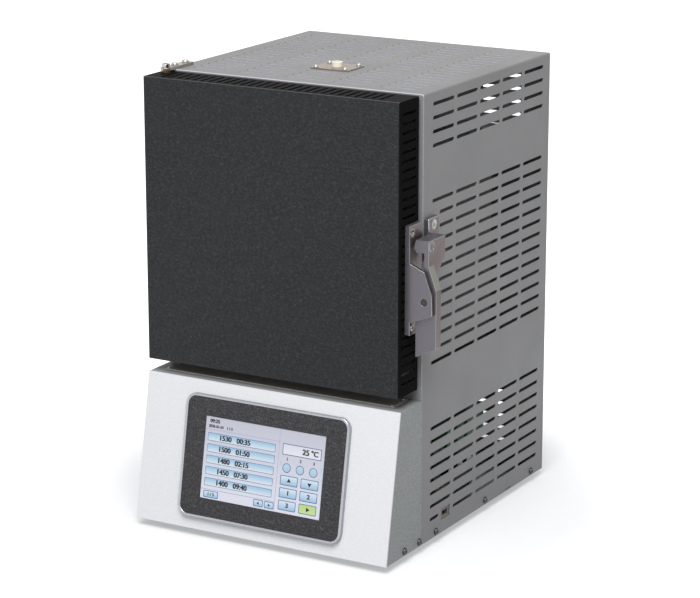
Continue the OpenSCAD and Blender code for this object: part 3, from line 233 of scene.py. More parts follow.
# %% Metals
def metal(name, dark, light, roughness, size_mm, height_mm, stretch=(1, 1, 1), metallic=1.0):
    """Bare or plated metal. A stretch far below one draws the grain out into brushed lines."""
    made, tree, shader = finish(name, roughness, metallic)
    lines = grain(tree, size_mm, stretch)
    tint(tree, shader, lines, dark, light)
    relief(tree, shader, lines, height_mm)
    sheen_range(tree, shader, grain(tree, size_mm * 3, stretch), roughness - 0.06, roughness + 0.08)
    return made


brushed_stainless = metal("brushed_stainless", "a39c92", "b8b1a6", 0.3, 0.6, 0.004, (0.02, 1, 1))
satin_vent_plate = metal("satin_vent_plate", "958a7f", "a89d91", 0.34, 0.6, 0.004, (0.03, 1, 1))
# The ledge plate is pale and half diffuse: a painted reflection, so that it shows bright in the shade under
# the door.
ledge_steel_painted_reflection = metal("ledge_steel_painted_reflection", "bdb7b1", "cfc9c3", 0.4, 0.8, 0.003, (0.02, 1, 1), 0.3)
black_nickel = metal("black_nickel", "4a4846", "63615f", 0.14, 0.6, 0.002)
# A dull dark steel; on the bay liner's outer sides it is painted shade.
dull_dark_steel = metal("dull_dark_steel", "5a5652", "706b66", 0.5, 3.0, 0.02, metallic=0.2)
liner_stainless = metal("liner_stainless", "9c9a95", "b3b0aa", 0.34, 0.7, 0.004, (1, 1, 0.02))
blackened_steel = metal("blackened_steel", "5a585d", "67656b", 0.34, 0.9, 0.010, metallic=0.5)
# A darker brown steel: painted shade and painted reflection on the latch's outer side.
brown_painted_shade_steel = metal("brown_painted_shade_steel", "504546", "605455", 0.3, 0.9, 0.008, metallic=0.5)
# A paler steel for the latch's sloping faces: painted light from above.
painted_light_slope_steel = metal("painted_light_slope_steel", "6e6e66", "7b7b73", 0.3, 0.9, 0.006, metallic=0.95)
# A bright steel for the latch's rounded edges: a painted highlight.
painted_highlight_edge_steel = metal("painted_highlight_edge_steel", "808184", "9a9b9e", 0.18, 0.6, 0.002)
ground_steel = metal("ground_steel", "a8a9aa", "bfc0c1", 0.22, 0.4, 0.003, (1, 1, 0.05))
plated_screw_steel = metal("plated_screw_steel", "8a8880", "a5a39b", 0.22, 0.6, 0.004)
bright_nickel = metal("bright_nickel", "a4a2a0", "bebcba", 0.12, 0.6, 0.002)
satin_aluminium = metal("satin_aluminium", "a0a1a6", "b2b3b8", 0.3, 0.5, 0.004)
turned_brass = metal("turned_brass", "b08b45", "c9a65e", 0.28, 0.5, 0.004)
dark_varnished_iron = metal("dark_varnished_iron", "2f2e2c", "45433f", 0.45, 1.5, 0.03, metallic=0.6)
stacked_core_sheets = metal("stacked_core_sheets", "3a3733", "5b5750", 0.42, 0.7, 0.12, (0.03, 1, 0.03), 0.7)
enamelled_copper = metal("enamelled_copper", "8a3d16", "b4602a", 0.3, 1.1, 0.2, (1, 0.03, 0.03), 0.8)


def zinc_sheet(name):
    """Zinc plating: crystals about fourteen millimetres across, each with its own tone and gloss."""
    made, tree, shader = finish(name, 0.38, 1.0)
    place = node(tree, "TexCoord").outputs["Object"]
    crystals = node(tree, "TexVoronoi", {"Vector": place, "Scale": 1 / (14 * MM)}).outputs["Color"]
    shade = node(tree, "SeparateColor", {"Color": crystals}).outputs["Red"]
    tint(tree, shader, shade, "8d9294", "a9aeb0", 0.0, 1.0)
    sheen_range(tree, shader, shade, 0.3, 0.45)
    return made


zinc_plated_sheet = zinc_sheet("zinc_plated_sheet")

# %% [markdown]
# ## Ceramics, plastics and rubber
# Ceramic fibre board is pressed from short white fibres and stays soft and chalky. Fired alumina is dense
# and a little creamy. The elements are a grey ceramic with a thin glassy skin. Moulded plastics copy the
# fine spark texture of their mould.

# %% Ceramics, plastics and rubber
def matt_body(name, dark, light, roughness, size_mm, height_mm, ior=1.5, stretch=(1, 1, 1)):
    """A body with one fine texture all through, which moves its colour, relief and roughness."""
    made, tree, shader = finish(name, roughness, 0.0, ior)
    texture = grain(tree, size_mm, stretch, detail=5.0)
    tint(tree, shader, texture, dark, light)
    relief(tree, shader, texture, height_mm)
    sheen_range(tree, shader, grain(tree, size_mm * 8), roughness - 0.06, roughness + 0.06)
    return made


pressed_ceramic_fibre = matt_body("pressed_ceramic_fibre", "d2cec2", "e6e3d9", 0.9, 2.2, 0.25)
fired_alumina = matt_body("fired_alumina", "dcd5c8", "eae5da", 0.4, 1.4, 0.02, 1.76)
glazed_element_ceramic = matt_body("glazed_element_ceramic", "3c3c3e", "565559", 0.35, 1.0, 0.02, 1.6)
phenolic_board = matt_body("phenolic_board", "8a4a10", "b06a1e", 0.5, 1.2, 0.03, 1.6, (1, 1, 0.2))
spark_textured_plastic = matt_body("spark_textured_plastic", "1b1b1c", "262627", 0.5, 0.5, 0.02)
moulded_rubber = matt_body("moulded_rubber", "161616", "222221", 0.75, 0.8, 0.04, 1.52)
red_moulded_plastic = matt_body("red_moulded_plastic", "9c1712", "b3211b", 0.3, 0.8, 0.01)
# A dark board: painted shade for the door's insulation, seen in shade behind the door's slots.
door_board_painted_shade = matt_body("door_board_painted_shade", "191817", "242322", 0.9, 1.5, 0.05)
solder_mask_laminate = matt_body("solder_mask_laminate", "10301c", "1a4528", 0.35, 3.0, 0.02, 1.55)
terminal_green = matt_body("terminal_green", "007a36", "0a9648", 0.35, 1.0, 0.01)
socket_plastic = matt_body("socket_plastic", "c9c2b0", "d9d3c4", 0.45, 1.0, 0.01)
capacitor_sleeve = matt_body("capacitor_sleeve", "17181c", "26272c", 0.3, 1.0, 0.01)


def fibre_rope(name):
    """Plaited ceramic rope: two sets of strands that cross, each about three millimetres wide."""
    made, tree, shader = finish(name, 0.85)
    place = node(tree, "TexCoord").outputs["Object"]
    strands = [node(tree, "TexWave", {"Vector": node(tree, "Mapping", {
        "Vector": place, "Rotation": [0, math.radians(angle), 0]}).outputs["Vector"],
        "Scale": 1 / (9 * MM), "Distortion": 1.0}).outputs["Fac"] for angle in (40, -40)]
    crossed = node(tree, "Math", {0: strands[0], 1: strands[1]}, operation="MAXIMUM").outputs["Value"]
    tint(tree, shader, crossed, "c9c3b4", "eae6da")
    relief(tree, shader, crossed, 0.6)
    return made


plaited_fibre_rope = fibre_rope("plaited_fibre_rope")

# %% [markdown]
# ## The lit screen
# The touch screen is a lit film behind glass. Its light is even, a little dimmer towards its upper edge,
# so the colour runs with the height and a faint glow is added to it.

# %% The lit film of the screen
def lit_film(name, upper, lower, low_z, high_z, glow=0.12):
    """A film behind glass that glows a little. Its colour runs from a low to a high level."""
    made, tree, shader = finish(name, 0.22, 0.0, 1.45)
    height = node(tree, "SeparateXYZ", {"Vector": node(tree, "TexCoord").outputs["Object"]}).outputs["Z"]
    rise = node(tree, "MapRange", {"Value": height, "From Min": low_z, "From Max": high_z}).outputs["Result"]
    shade = tint(tree, shader, rise, lower, upper, 0.0, 1.0)
    tree.links.new(shade, shader.inputs["Emission Color"])
    shader.inputs["Emission Strength"].default_value = glow
    return made


screen_low, screen_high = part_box("touch_screen")
screen_film = lit_film("screen_film", "b0b1bd", "c9cbd6", screen_low.z, screen_high.z)

# %% [markdown]
# ## Dressing the parts
# Each part takes the material of what it is made of. The record already sorts the parts into slots, so
# one table from slot to material dresses them all.

# %% A material for every slot
SLOT_MATERIALS = {
    "galvanised_steel": zinc_plated_sheet, "black_rubber": moulded_rubber,
    "grey_paint": smooth_grey_powder_coat, "white_paint": white_powder_coat,
    "dark_paint": grained_black_coat, "dark_latch": blackened_steel,
    "stainless": brushed_stainless, "bright_steel": ground_steel, "plated_screws": plated_screw_steel,
    "ceramic_fibre": pressed_ceramic_fibre, "alumina": fired_alumina,
    "element_grey": glazed_element_ceramic, "clamp_aluminium": satin_aluminium,
    "phenolic": phenolic_board, "dark_cast": dark_varnished_iron, "silver_rim": satin_aluminium,
    "dark_plastic": grained_bezel_plastic, "black_plastic": spark_textured_plastic,
    "red_plastic": red_moulded_plastic, "screen_glass": screen_film,
    "board_green": solder_mask_laminate, "washer_brass": turned_brass}
# The door's insulation and hinge blocks are dark: painted shade inside the door, seen through its slots.
NODE_MATERIALS = {
    "console_housing": coarse_grey_powder_coat, "ledge_plate": ledge_steel_painted_reflection,
    "vent_plate": satin_vent_plate, "hinge_pins": bright_nickel,
    "bay_liner": liner_stainless, "door_back": liner_stainless, "chamber_casing": liner_stainless,
    "door_gasket": plaited_fibre_rope, "door_insulation": door_board_painted_shade,
    "hinge_blocks": blackened_steel}


def dress(piece, material):
    """Gives a piece one material, in place of any that it has."""
    piece.data.materials.clear()
    piece.data.materials.append(material)
    return piece


def material_of(name):
    """A part's own material where it has one, or else that of its slot."""
    return NODE_MATERIALS.get(name, SLOT_MATERIALS[node_slot[name]])


for name, part in frame["nodes"].items():
    dress(part, material_of(name))
print("dressed", len(frame["nodes"]), "parts with", len(bpy.data.materials), "materials")

# %% [markdown]
# ## Rounded edges
# No real edge is perfectly sharp. A folded sheet has a bend, a sawn plate is deburred, and that thin
# round catches a line of light. A copy of the part is cleaned into large flat faces, its sharp edges
# are beveled, and the copy then stands for the part. A face whose normal lies nearly along an axis is
# taken to face that way, which sorts the sides of a part when it has more than one finish.

# %% Helpers for a copy with rounded edges
def only(*pieces):
    """Makes these the only selected pieces, the first of them active."""
    bpy.ops.object.select_all(action="DESELECT")
    for piece in pieces:
        piece.hide_set(False)
        piece.select_set(True)
    bpy.context.view_layer.objects.active = pieces[0]


def clean_copy(name):
    """A copy of a part whose loose triangles are merged into large flat faces."""
    part = frame["nodes"][name]
    piece = part.copy()
    piece.data = part.data.copy()
    piece.parent = None
    piece.matrix_world = Matrix.Identity(4)
    bpy.context.collection.objects.link(piece)
    only(piece)
    bpy.ops.object.mode_set(mode="EDIT")
    bpy.ops.mesh.select_all(action="SELECT")
    bpy.ops.mesh.remove_doubles(threshold=0.002 * MM)
    bpy.ops.mesh.dissolve_limited(angle_limit=math.radians(1.5))
    bpy.ops.object.mode_set(mode="OBJECT")
    return piece


def place_on(piece, name, *others):
    """The piece stands for these parts and moves with their body."""
    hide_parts(name, *others)
    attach(piece, node_body[name])


def bevel_all(piece, width_mm, segments=2, angle=35, edge_material=None):
    """Rounds every sharp edge of a piece, while its broad faces stay flat."""
    only(piece)
    bpy.ops.object.shade_smooth_by_angle(angle=math.radians(30))
    rounder = piece.modifiers.new("round", "BEVEL")
    rounder.width = width_mm * MM
    rounder.segments = segments
    rounder.angle_limit = math.radians(angle)
    rounder.use_clamp_overlap = False
    rounder.harden_normals = True
    if edge_material is not None:
        piece.data.materials.append(edge_material)
        rounder.material = len(piece.data.materials) - 1
    bpy.ops.object.modifier_apply(modifier=rounder.name)
    return piece


def soften(name, width_mm, segments=2, angle=35, edge_material=None):
    """A part with rounded edges in place of its sharp ones."""
    piece = bevel_all(clean_copy(name), width_mm, segments, angle, edge_material)
    piece.name = name + "_rounded"
    place_on(piece, name)
    print(piece.name, len(piece.data.polygons), "faces")
    return piece


FACING = 0.9


def paint(piece, material, test):
    """Gives the faces that pass a test on their middle and their normal another material."""
    piece.data.materials.append(material)
    index = len(piece.data.materials) - 1
    for face in piece.data.polygons:
        if test(face.center, face.normal):
            face.material_index = index


# %% [markdown]
# How round an edge is depends on how the part was made: sheet is only deburred, so a few tenths of a
# millimetre are enough, while turned metal, moulded plastic and pressed ceramic are rounder. One table
# holds the width of each part's edge, and every part in it is softened in the same way.

# %% Round the edges of the parts that are seen
EDGE_MM = {"front_fascia": 0.4, "console_housing": 0.3, "panel_rim": 1.1, "panel_bezel": 0.4,
           "ledge_plate": 0.25, "vent_plate": 0.3, "vent_tube": 0.5, "hinge_strap_top": 0.5,
           "hinge_strap_bottom": 0.5, "rubber_feet": 0.5, "hearth_plug": 1.0, "hearth_plate": 0.6,
           "hearth_carrier": 0.4, "power_inlet": 0.4, "breaker_body": 0.3, "breaker_rocker": 0.5,
           "element_clamps": 0.4, "element_holders": 0.5, "terminal_board": 0.4, "hinge_pins": 0.25,
           "door_back": 0.3, "usb_port": 0.2, "fan_frame": 0.4, "fan_rotor": 0.3, "bay_liner": 0.2}
rounded = {name: soften(name, width_mm) for name, width_mm in EDGE_MM.items()}

# %% [markdown]
# ## The folded cover
# The cover is one sheet. Where it is folded at the front and the rear the bend is rounder than a cut
# edge, and the long bend along the top catches the brightest line of the whole cabinet. So those outer
# edges are beveled first, by the radius of a real fold, and then every slot gets its small deburred rim.
# The top fold has a pale painted highlight line and the side folds a speckled painted highlight, and the
# far walls of the roof's slots, which face the front, are painted pale as painted light.

# %% Fold lines and slot rims of the cover
FOLD_HIGHLIGHT, SIDE_FOLD_HIGHLIGHT = 1, 2
BEND = 3 * MM


def round_folds(piece, width_mm):
    """Bevels the outer edges round the front and the back of the cover, and gives the bend its painted
    highlight line.
    """
    piece.data.materials.append(fold_highlight_coat)
    low = Vector([min(v.co[i] for v in piece.data.vertices) for i in range(3)])
    high = Vector([max(v.co[i] for v in piece.data.vertices) for i in range(3)])
    near = 0.05 * MM

    def on_outline(edge):
        """Whether an edge lies on the walls, the roof or the bend at the cover's front or back end."""
        ends = [piece.data.vertices[i].co for i in edge.vertices]
        at_end = any(all(abs(p.y - y) < near for p in ends) for y in (low.y, high.y))
        outside = all(p.x - low.x < BEND or high.x - p.x < BEND or high.z - p.z < BEND for p in ends)
        along = (ends[0] - ends[1]).length
        on_wall = all(min(p.x - low.x, high.x - p.x) < near for p in ends)
        on_roof = all(high.z - p.z < near for p in ends)
        in_bend = along < 1 * MM and all(high.z - p.z < BEND for p in ends) and all(
            min(p.x - low.x, high.x - p.x) + high.z - p.z < BEND * 0.75 for p in ends)
        return at_end and outside and (on_wall or on_roof or in_bend)

    only(piece)
    bpy.ops.object.mode_set(mode="EDIT")
    bpy.ops.mesh.select_mode(type="EDGE")
    bpy.ops.mesh.select_all(action="DESELECT")
    bpy.ops.object.mode_set(mode="OBJECT")
    for edge in piece.data.edges:
        edge.select = on_outline(edge)
    print("fold edges", sum(edge.select for edge in piece.data.edges))
    bpy.ops.object.mode_set(mode="EDIT")
    bpy.ops.mesh.bevel(offset=width_mm * MM, segments=4, clamp_overlap=False, material=FOLD_HIGHLIGHT)
    bpy.ops.object.mode_set(mode="OBJECT")


FRONT_RETURN = 9 * MM
cover = clean_copy("outer_cover")
round_folds(cover, 0.9)
cover_low, cover_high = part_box("outer_cover")
bevel_all(cover, 0.18, 1, 50)
# The side folds get a speckled paler coat: a painted highlight.
cover.data.materials.append(side_fold_highlight_coat)
for face in cover.data.polygons:
    if face.material_index == FOLD_HIGHLIGHT and face.center.z < cover_high.z - BEND:
        face.material_index = SIDE_FOLD_HIGHLIGHT
# The far walls of the roof's slots are painted pale: painted light where they face the front.
paint(cover, painted_light_slot_wall, lambda p, n: n.y < -FACING and p.z > cover_high.z - SHEET
      and p.y > cover_low.y + FRONT_RETURN)
cover.name = "outer_cover_folded"
place_on(cover, "outer_cover")
print(cover.name, len(cover.data.polygons), "faces")

# %% [markdown]
# ## The door's two coats
# The front of the door is grained, and its rim with the slots is smooth gloss black. Between them runs
# a thin paler edge, a painted highlight along the rounded front edge. The bevel gives its own faces that
# third finish, and the faces that look to the front get the grained one.

# %% Coat the door
# The bevel's own faces take the paler coat, a painted highlight, and keep it only along the front edge.
door = soften("door_shell", 0.55, 3, 35, painted_highlight_door_edge)
door.data.materials[0] = gloss_black_enamel
door_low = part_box("door_shell")[0]
RIM_MM = 0.8
front_rim = door_low.y + RIM_MM * MM
ENAMEL, HIGHLIGHT_EDGE = 0, 1
paint(door, grained_black_coat, lambda p, n: n.y < -FACING and p.y < front_rim)
for face in door.data.polygons:
    if face.material_index == HIGHLIGHT_EDGE and face.center.y > front_rim:
        face.material_index = ENAMEL
print("door finishes", [m.name for m in door.data.materials])

# %% [markdown]
# ## The latch
# The latch is machined steel. Its broad faces are half polished and dark. Its outer side is painted darker
# and browner, as painted shade and painted reflection, its sloping faces are painted paler, as painted
# light, and every edge has a painted highlight line. The finishes are told apart by the way a face looks.

# %% Work the sides of the latch
def work_steel(name, width_mm, segments=3):
    """A steel part with painted highlight edges, a painted shade on its browner outer side and painted light
    on its slopes.
    """
    piece = soften(name, width_mm, segments, 30, painted_highlight_edge_steel)
    broad = [face.index for face in piece.data.polygons if face.material_index == 0]
    for material, test in ((brown_painted_shade_steel, lambda n: n.x > 0.97),
                           (painted_light_slope_steel, lambda n: n.x > 0.2 and n.z > 0.12)):
        piece.data.materials.append(material)
        for index in broad:
            if test(piece.data.polygons[index].normal):
                piece.data.polygons[index].material_index = len(piece.data.materials) - 1


for name, width_mm in {"latch_base": 0.35, "latch_lever": 0.35, "latch_strike": 1.1}.items():
    work_steel(name, width_mm)
# The stud takes the darker brown steel of the latch's outer side, its painted shade.
stud = soften("latch_stud", 0.5, 3, 30, painted_highlight_edge_steel)
stud.data.materials[0] = brown_painted_shade_steel
# The pin's dark iron is painted shade: it sits in a recess of the latch.
pin = soften("latch_pin", 0.6, 3, 30)
pin.data.materials[0] = dark_varnished_iron

# %% [markdown]
# ## Screws
# A pan-head screw is a low dome with a cross recess. One is modelled: a short cylinder whose upper rim is
# beveled into a dome, with two tapered blades cut out of it. The countersunk one starts as a cone. Each
# part of the frame that is a set of screws tells where its heads sit, so the copies go there.

# %% Model one pan head and one countersunk head
HEAD_MM = 8.0
BLADE_MM = (4.6, 0.95, 2.2)
BLADE_TAPER = 0.5
DOME_MM = 1.7


def blade_cutter(turn):
    """A tapered blade, as on the tip of a cross driver."""
    bpy.ops.mesh.primitive_cube_add(size=1, location=(0, 0, -0.4 * MM), rotation=(0, 0, turn))
    blade = bpy.context.object
    blade.scale = [size * MM for size in BLADE_MM]
    bpy.ops.object.transform_apply(location=True, rotation=True, scale=True)
    bpy.ops.object.mode_set(mode="EDIT")
    bpy.ops.mesh.select_mode(type="VERT")
    bpy.ops.mesh.select_all(action="DESELECT")
    bpy.ops.object.mode_set(mode="OBJECT")
    for vertex in blade.data.vertices:
        vertex.select = vertex.co.z < -1 * MM
    bpy.ops.object.mode_set(mode="EDIT")
    bpy.ops.transform.resize(value=(BLADE_TAPER, BLADE_TAPER, 1), center_override=(0, 0, 0))
    bpy.ops.object.mode_set(mode="OBJECT")
    return blade


def cut_recess(head):
    """Cuts the cross out of a head with two blades at right angles."""
    for turn in (math.radians(20), math.radians(110)):
        blade = blade_cutter(turn)
        only(head)
        cutter = head.modifiers.new("recess", "BOOLEAN")
        cutter.object = blade
        cutter.operation = "DIFFERENCE"
        cutter.solver = "EXACT"
        bpy.ops.object.modifier_apply(modifier=cutter.name)
        only(blade)
        bpy.ops.object.delete()
    only(head)
    bpy.ops.object.shade_smooth_by_angle(angle=math.radians(40))
    return head


def model_pan_head():
    """A low dome. Its top is at height zero and it points up."""
    bpy.ops.mesh.primitive_cylinder_add(vertices=32, radius=HEAD_MM / 2 * MM, depth=3 * MM,
                                        location=(0, 0, -1.5 * MM))
    head = bpy.context.object
    bpy.ops.object.transform_apply(location=True, rotation=False, scale=False)
    bpy.ops.object.mode_set(mode="EDIT")
    bpy.ops.mesh.select_mode(type="FACE")
    bpy.ops.mesh.select_all(action="DESELECT")
    bpy.ops.object.mode_set(mode="OBJECT")
    for face in head.data.polygons:
        face.select = face.normal.z > FACING
    bpy.ops.object.mode_set(mode="EDIT")
    bpy.ops.mesh.bevel(offset=DOME_MM * MM, segments=5)
    bpy.ops.object.mode_set(mode="OBJECT")
    return cut_recess(head)


def model_flush_head():
    """A cone that narrows downwards. Its flat top is at height zero."""
    bpy.ops.mesh.primitive_cone_add(vertices=32, radius1=HEAD_MM * 0.26 * MM, radius2=HEAD_MM / 2 * MM,
                                    depth=2 * MM, location=(0, 0, -1 * MM))
    head = bpy.context.object
    bpy.ops.object.transform_apply(location=True, rotation=False, scale=False)
    bevel_all(head, 0.12, 2)
    return cut_recess(head)


pan_head = model_pan_head()
flush_head = model_flush_head()
print("pan head", len(pan_head.data.polygons), "faces, flush head", len(flush_head.data.polygons), "faces")

# %% [markdown]
# A set of screws is one part of the frame. Its copy falls apart into its separate solids, and each solid
# is measured: the two equal sides of its box lie across the screw, the wider end is the head, and the
# middle of that end is the seat. The master is then turned, scaled and copied there as its own mesh.

# %% Find the seat of every screw
def solids_of(name):
    """The corners of each separate solid of a part."""
    piece = clean_copy(name)
    bpy.ops.object.mode_set(mode="EDIT")
    bpy.ops.mesh.select_all(action="SELECT")
    bpy.ops.mesh.separate(type="LOOSE")
    bpy.ops.object.mode_set(mode="OBJECT")
    parts = list(bpy.context.selected_objects)
    solids = [[vertex.co.copy() for vertex in part.data.vertices] for part in parts]
    only(*parts)
    bpy.ops.object.delete()
    return solids


def screw_seat(corners):
    """The middle of the head's top, the way that it points and the width of the head, in metres."""
    low = Vector([min(c[i] for c in corners) for i in range(3)])
    high = Vector([max(c[i] for c in corners) for i in range(3)])
    size, middle = high - low, (low + high) / 2
    axis = min(range(3), key=lambda i: abs(size[(i + 1) % 3] - size[(i + 2) % 3]))

    def width_at(end):
        """How far the screw reaches from its own middle line at one of its ends."""
        return max((Vector([0 if i == axis else c[i] - middle[i] for i in range(3)]).length
                    for c in corners if abs(c[axis] - end[axis]) < 0.02 * MM), default=0)

    way = Vector([0.0, 0.0, 0.0])
    way[axis] = 1 if width_at(high) > width_at(low) else -1
    top = middle.copy()
    top[axis] = high[axis] if way[axis] > 0 else low[axis]
    return top, way, size[(axis + 1) % 3]


def place_screws(name, master, material):
    """Copies the master to each seat of a set. Heads that face up are bright nickel."""
    for count, corners in enumerate(solids_of(name), 1):
        top, way, width = screw_seat(corners)
        screw = bpy.data.objects.new("%s_%02d" % (name, count), master.data.copy())
        bpy.context.collection.objects.link(screw)
        turn = way.to_track_quat("Z", "Y").to_matrix().to_4x4()
        screw.data.transform(Matrix.Translation(top) @ turn @ Matrix.Scale(width / (HEAD_MM * MM), 4))
        dress(screw, bright_nickel if way.z > FACING else material)
        place_on(screw, name)
    print(name, count, "screws")


for name, master, material in (("cover_screws", pan_head, black_nickel),
                               ("plate_screws", pan_head, bright_nickel),
                               ("door_screws", flush_head, plated_screw_steel),
                               ("strike_screws", flush_head, plated_screw_steel)):
    place_screws(name, master, material)
only(pan_head, flush_head)
bpy.ops.object.delete()

# %% [markdown]
# ## What shows inside
# Through the slots one sees the control board, the terminal board and the transformer. They are single
# parts of the frame, made of several things: laminate, plug-in terminals, capacitors and sockets, or a
# stacked core with a copper coil. A face is sorted by where it lies, and gets the finish of what it
# belongs to. The bay liner's outer sides, seen through the slots, are painted dark as painted shade.

# %% Board, transformer, actuator and terminals
board = soften("circuit_board", 0.15, 1)
board_low, board_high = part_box("circuit_board")
laminate_x = board_low.x + 14.6 * MM
bracket_x, pillar_x = laminate_x - 11.5 * MM, laminate_x - 1.7 * MM
face_x, can_top_x = laminate_x + 0.2 * MM, laminate_x + 11 * MM
TERMINALS_END_MM, CANS_START_MM, CANS_END_MM, SOCKETS_START_MM = 33, 53, 70, 78


def down_board(p):
    """How far a point is below the board's upper edge, in millimetres."""
    return (board_high.z - p.z) / MM


def in_cans(p):
    """Whether a point lies in the row of capacitors."""
    return CANS_START_MM < down_board(p) < CANS_END_MM


paint(board, zinc_plated_sheet, lambda p, n: p.x < bracket_x)
paint(board, turned_brass, lambda p, n: bracket_x < p.x < pillar_x)
paint(board, terminal_green, lambda p, n: p.x > face_x and down_board(p) < TERMINALS_END_MM)
paint(board, capacitor_sleeve, lambda p, n: p.x > face_x and in_cans(p))
paint(board, satin_aluminium, lambda p, n: n.x > FACING and p.x > can_top_x and in_cans(p))
paint(board, socket_plastic, lambda p, n: p.x > face_x and down_board(p) > SOCKETS_START_MM)

iron = soften("transformer", 0.4, 1)
iron_low, iron_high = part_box("transformer")
coil_reach = 13.9 * MM
iron.data.materials[0] = stacked_core_sheets
paint(iron, enamelled_copper, lambda p, n: p.y < iron_low.y + coil_reach
      or p.y > iron_high.y - coil_reach)

lift = soften("lift_actuator", 0.5, 2)
lift_low, lift_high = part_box("lift_actuator")
gearbox_top = lift_low.z + 34.5 * MM
tube_x, motor_x = lift_high.x - 53 * MM, lift_high.x - 60 * MM
paint(lift, satin_aluminium, lambda p, n: p.x > tube_x and p.z > gearbox_top)
paint(lift, spark_textured_plastic, lambda p, n: p.x < motor_x and p.z > gearbox_top)

liner_low, liner_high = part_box("bay_liner")
SKIN = 0.4 * MM
# The liner's outer sides are painted dark: painted shade in the space seen through the slots.
paint(rounded["bay_liner"], dull_dark_steel, lambda p, n: abs(n.x) > FACING
      and (p.x < liner_low.x + SKIN or p.x > liner_high.x - SKIN))

STUD_MM = 7.9
stud_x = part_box("terminal_board")[1].x - STUD_MM * MM
paint(rounded["terminal_board"], turned_brass, lambda p, n: p.x > stud_x)

# %% [markdown]
# ## Port and mains inlet
# The data port is a dull plated shell with a dark mouth, and a tongue stands in the mouth. The mains inlet
# holds three flat pins. The pins aren't parts of the frame, so they are modelled here: a block at the
# size of a real pin, with its edges beveled to a lead-in.

# %% Port and mains pins
port_low, port_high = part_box("usb_port")
rounded["usb_port"].data.materials[0] = dull_dark_steel
inlet_low, inlet_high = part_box("power_inlet")
inlet_middle = (inlet_low + inlet_high) / 2
PIN_MM = (2.0, 10.0, 4.0)
INLET_MOUTH_MM = 5


def mains_pin(name, x_mm, z_mm):
    """One flat pin, at a place that is measured from the middle of the inlet."""
    bpy.ops.mesh.primitive_cube_add(size=1)
    pin = bpy.context.object
    pin.name = name
    pin.scale = [size * MM for size in PIN_MM]
    bpy.ops.object.transform_apply(location=False, rotation=False, scale=True)
    bevel_all(pin, 0.5, 3)
    depth = inlet_high.y - (PIN_MM[1] / 2 + INLET_MOUTH_MM) * MM
    pin.data.transform(Matrix.Translation((inlet_middle.x + x_mm * MM, depth, inlet_middle.z + z_mm * MM)))
    dress(pin, bright_nickel)
    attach(pin, "cabinet")


for name, x_mm, z_mm in (("mains_pin_left", -7, -2), ("mains_pin_right", 7, -2), ("mains_pin_earth", 0, 2)):
    mains_pin(name, x_mm, z_mm)
print("port", [round(v / MM, 1) for v in port_high - port_low], "mm, and three mains pins")

# %% [markdown]
# ## The page on the touch screen
# The page is drawn flat in millimetres, its upper left corner at zero, and is then laid on the glass as
# one thin piece. A button is a plane whose corners are beveled and which is extruded by a hair, once in
# the colour of its outline and once, a little smaller, in its own. The page holds numbers and plain
# signs: five programmes, a reading in degrees, three lamps, and keys with arrows and numbers.

# %% Find the glass
def glass_face(name):
    """The upper left corner of the screen's front, and the ways to the right, down and out."""
    part = frame["nodes"][name]
    face = min(part.data.polygons, key=lambda f: f.normal.y)
    front = [v.co for v in part.data.vertices
             if abs((v.co - part.data.vertices[face.vertices[0]].co).dot(face.normal)) < 0.01 * MM]
    top_left = max(front, key=lambda p: p.z - p.x)
    bottom_left = max(front, key=lambda p: -p.z - p.x)
    top_right = max(front, key=lambda p: p.z + p.x)
    return top_left, top_right - top_left, bottom_left - top_left, face.normal


corner, across, down, outward = glass_face("touch_screen")
PAGE_W, PAGE_H = across.length / MM, down.length / MM
print("page", round(PAGE_W, 1), "x", round(PAGE_H, 1), "mm")

# %% [markdown]
# A key on such a page is shaded from its upper to its lower edge, and everything on the page glows a
# little. A plane comes with a UV map that runs from edge to edge, so the shade follows each key by itself.

# %% Colours of the page
def lit_button(name, upper, lower, glow=0.1):
    """A shaded key: its colour runs from its upper to its lower edge, by its own UV map."""
    made, tree, shader = finish(name, 0.25, 0.0, 1.45)
    place = node(tree, "SeparateXYZ", {"Vector": node(tree, "TexCoord").outputs["UV"]}).outputs["Y"]
    shade = tint(tree, shader, place, lower, upper, 0.1, 0.9)
    tree.links.new(shade, shader.inputs["Emission Color"])
    shader.inputs["Emission Strength"].default_value = glow
    return made


programme_blue = lit_button("programme_blue", "8fb2cc", "c3ced8")
key_blue = lit_button("key_blue", "bfcedb", "93b0c8")
start_green = lit_button("start_green", "a9c474", "b4c88a")
outline_blue = lit_button("outline_blue", "466892", "3c5e88", 0.05)
rule_lilac = lit_button("rule_lilac", "a9a6c4", "a9a6c4", 0.05)
reading_white = lit_button("reading_white", "c6c8d0", "cfd1d8")
lamp_blue = lit_button("lamp_blue", "a9bfcf", "9db6c9")
ink = lit_button("ink", "1c1d26", "1c1d26", 0.0)

# %% [markdown]
# Three helpers draw everything: a tile with rounded corners, a disc, and figures. Each thing has its own
# height above the glass, a few hundredths of a millimetre, so that no two faces lie in one plane. Print
# on such a screen is bold, and a font's outline grown too far loses its corners, so each figure is set
# three times, a hair apart.

# %% Helpers that draw on the page
OUTLINE_LIFT, FILL_LIFT, INK_LIFT, SIGN_LIFT = 0.05, 0.09, 0.11, 0.12
THICK = 0.03
BOLD, STRIKE = 0.02, 0.04
drawn = []


def thicken_flat():
    """Gives the flat shape in edit mode its thickness, with all faces outwards, and leaves edit mode."""
    bpy.ops.mesh.extrude_region_move(TRANSFORM_OT_translate={"value": (0, 0, -THICK)})
    bpy.ops.mesh.select_all(action="SELECT")
    bpy.ops.mesh.normals_make_consistent(inside=False)
    bpy.ops.object.mode_set(mode="OBJECT")


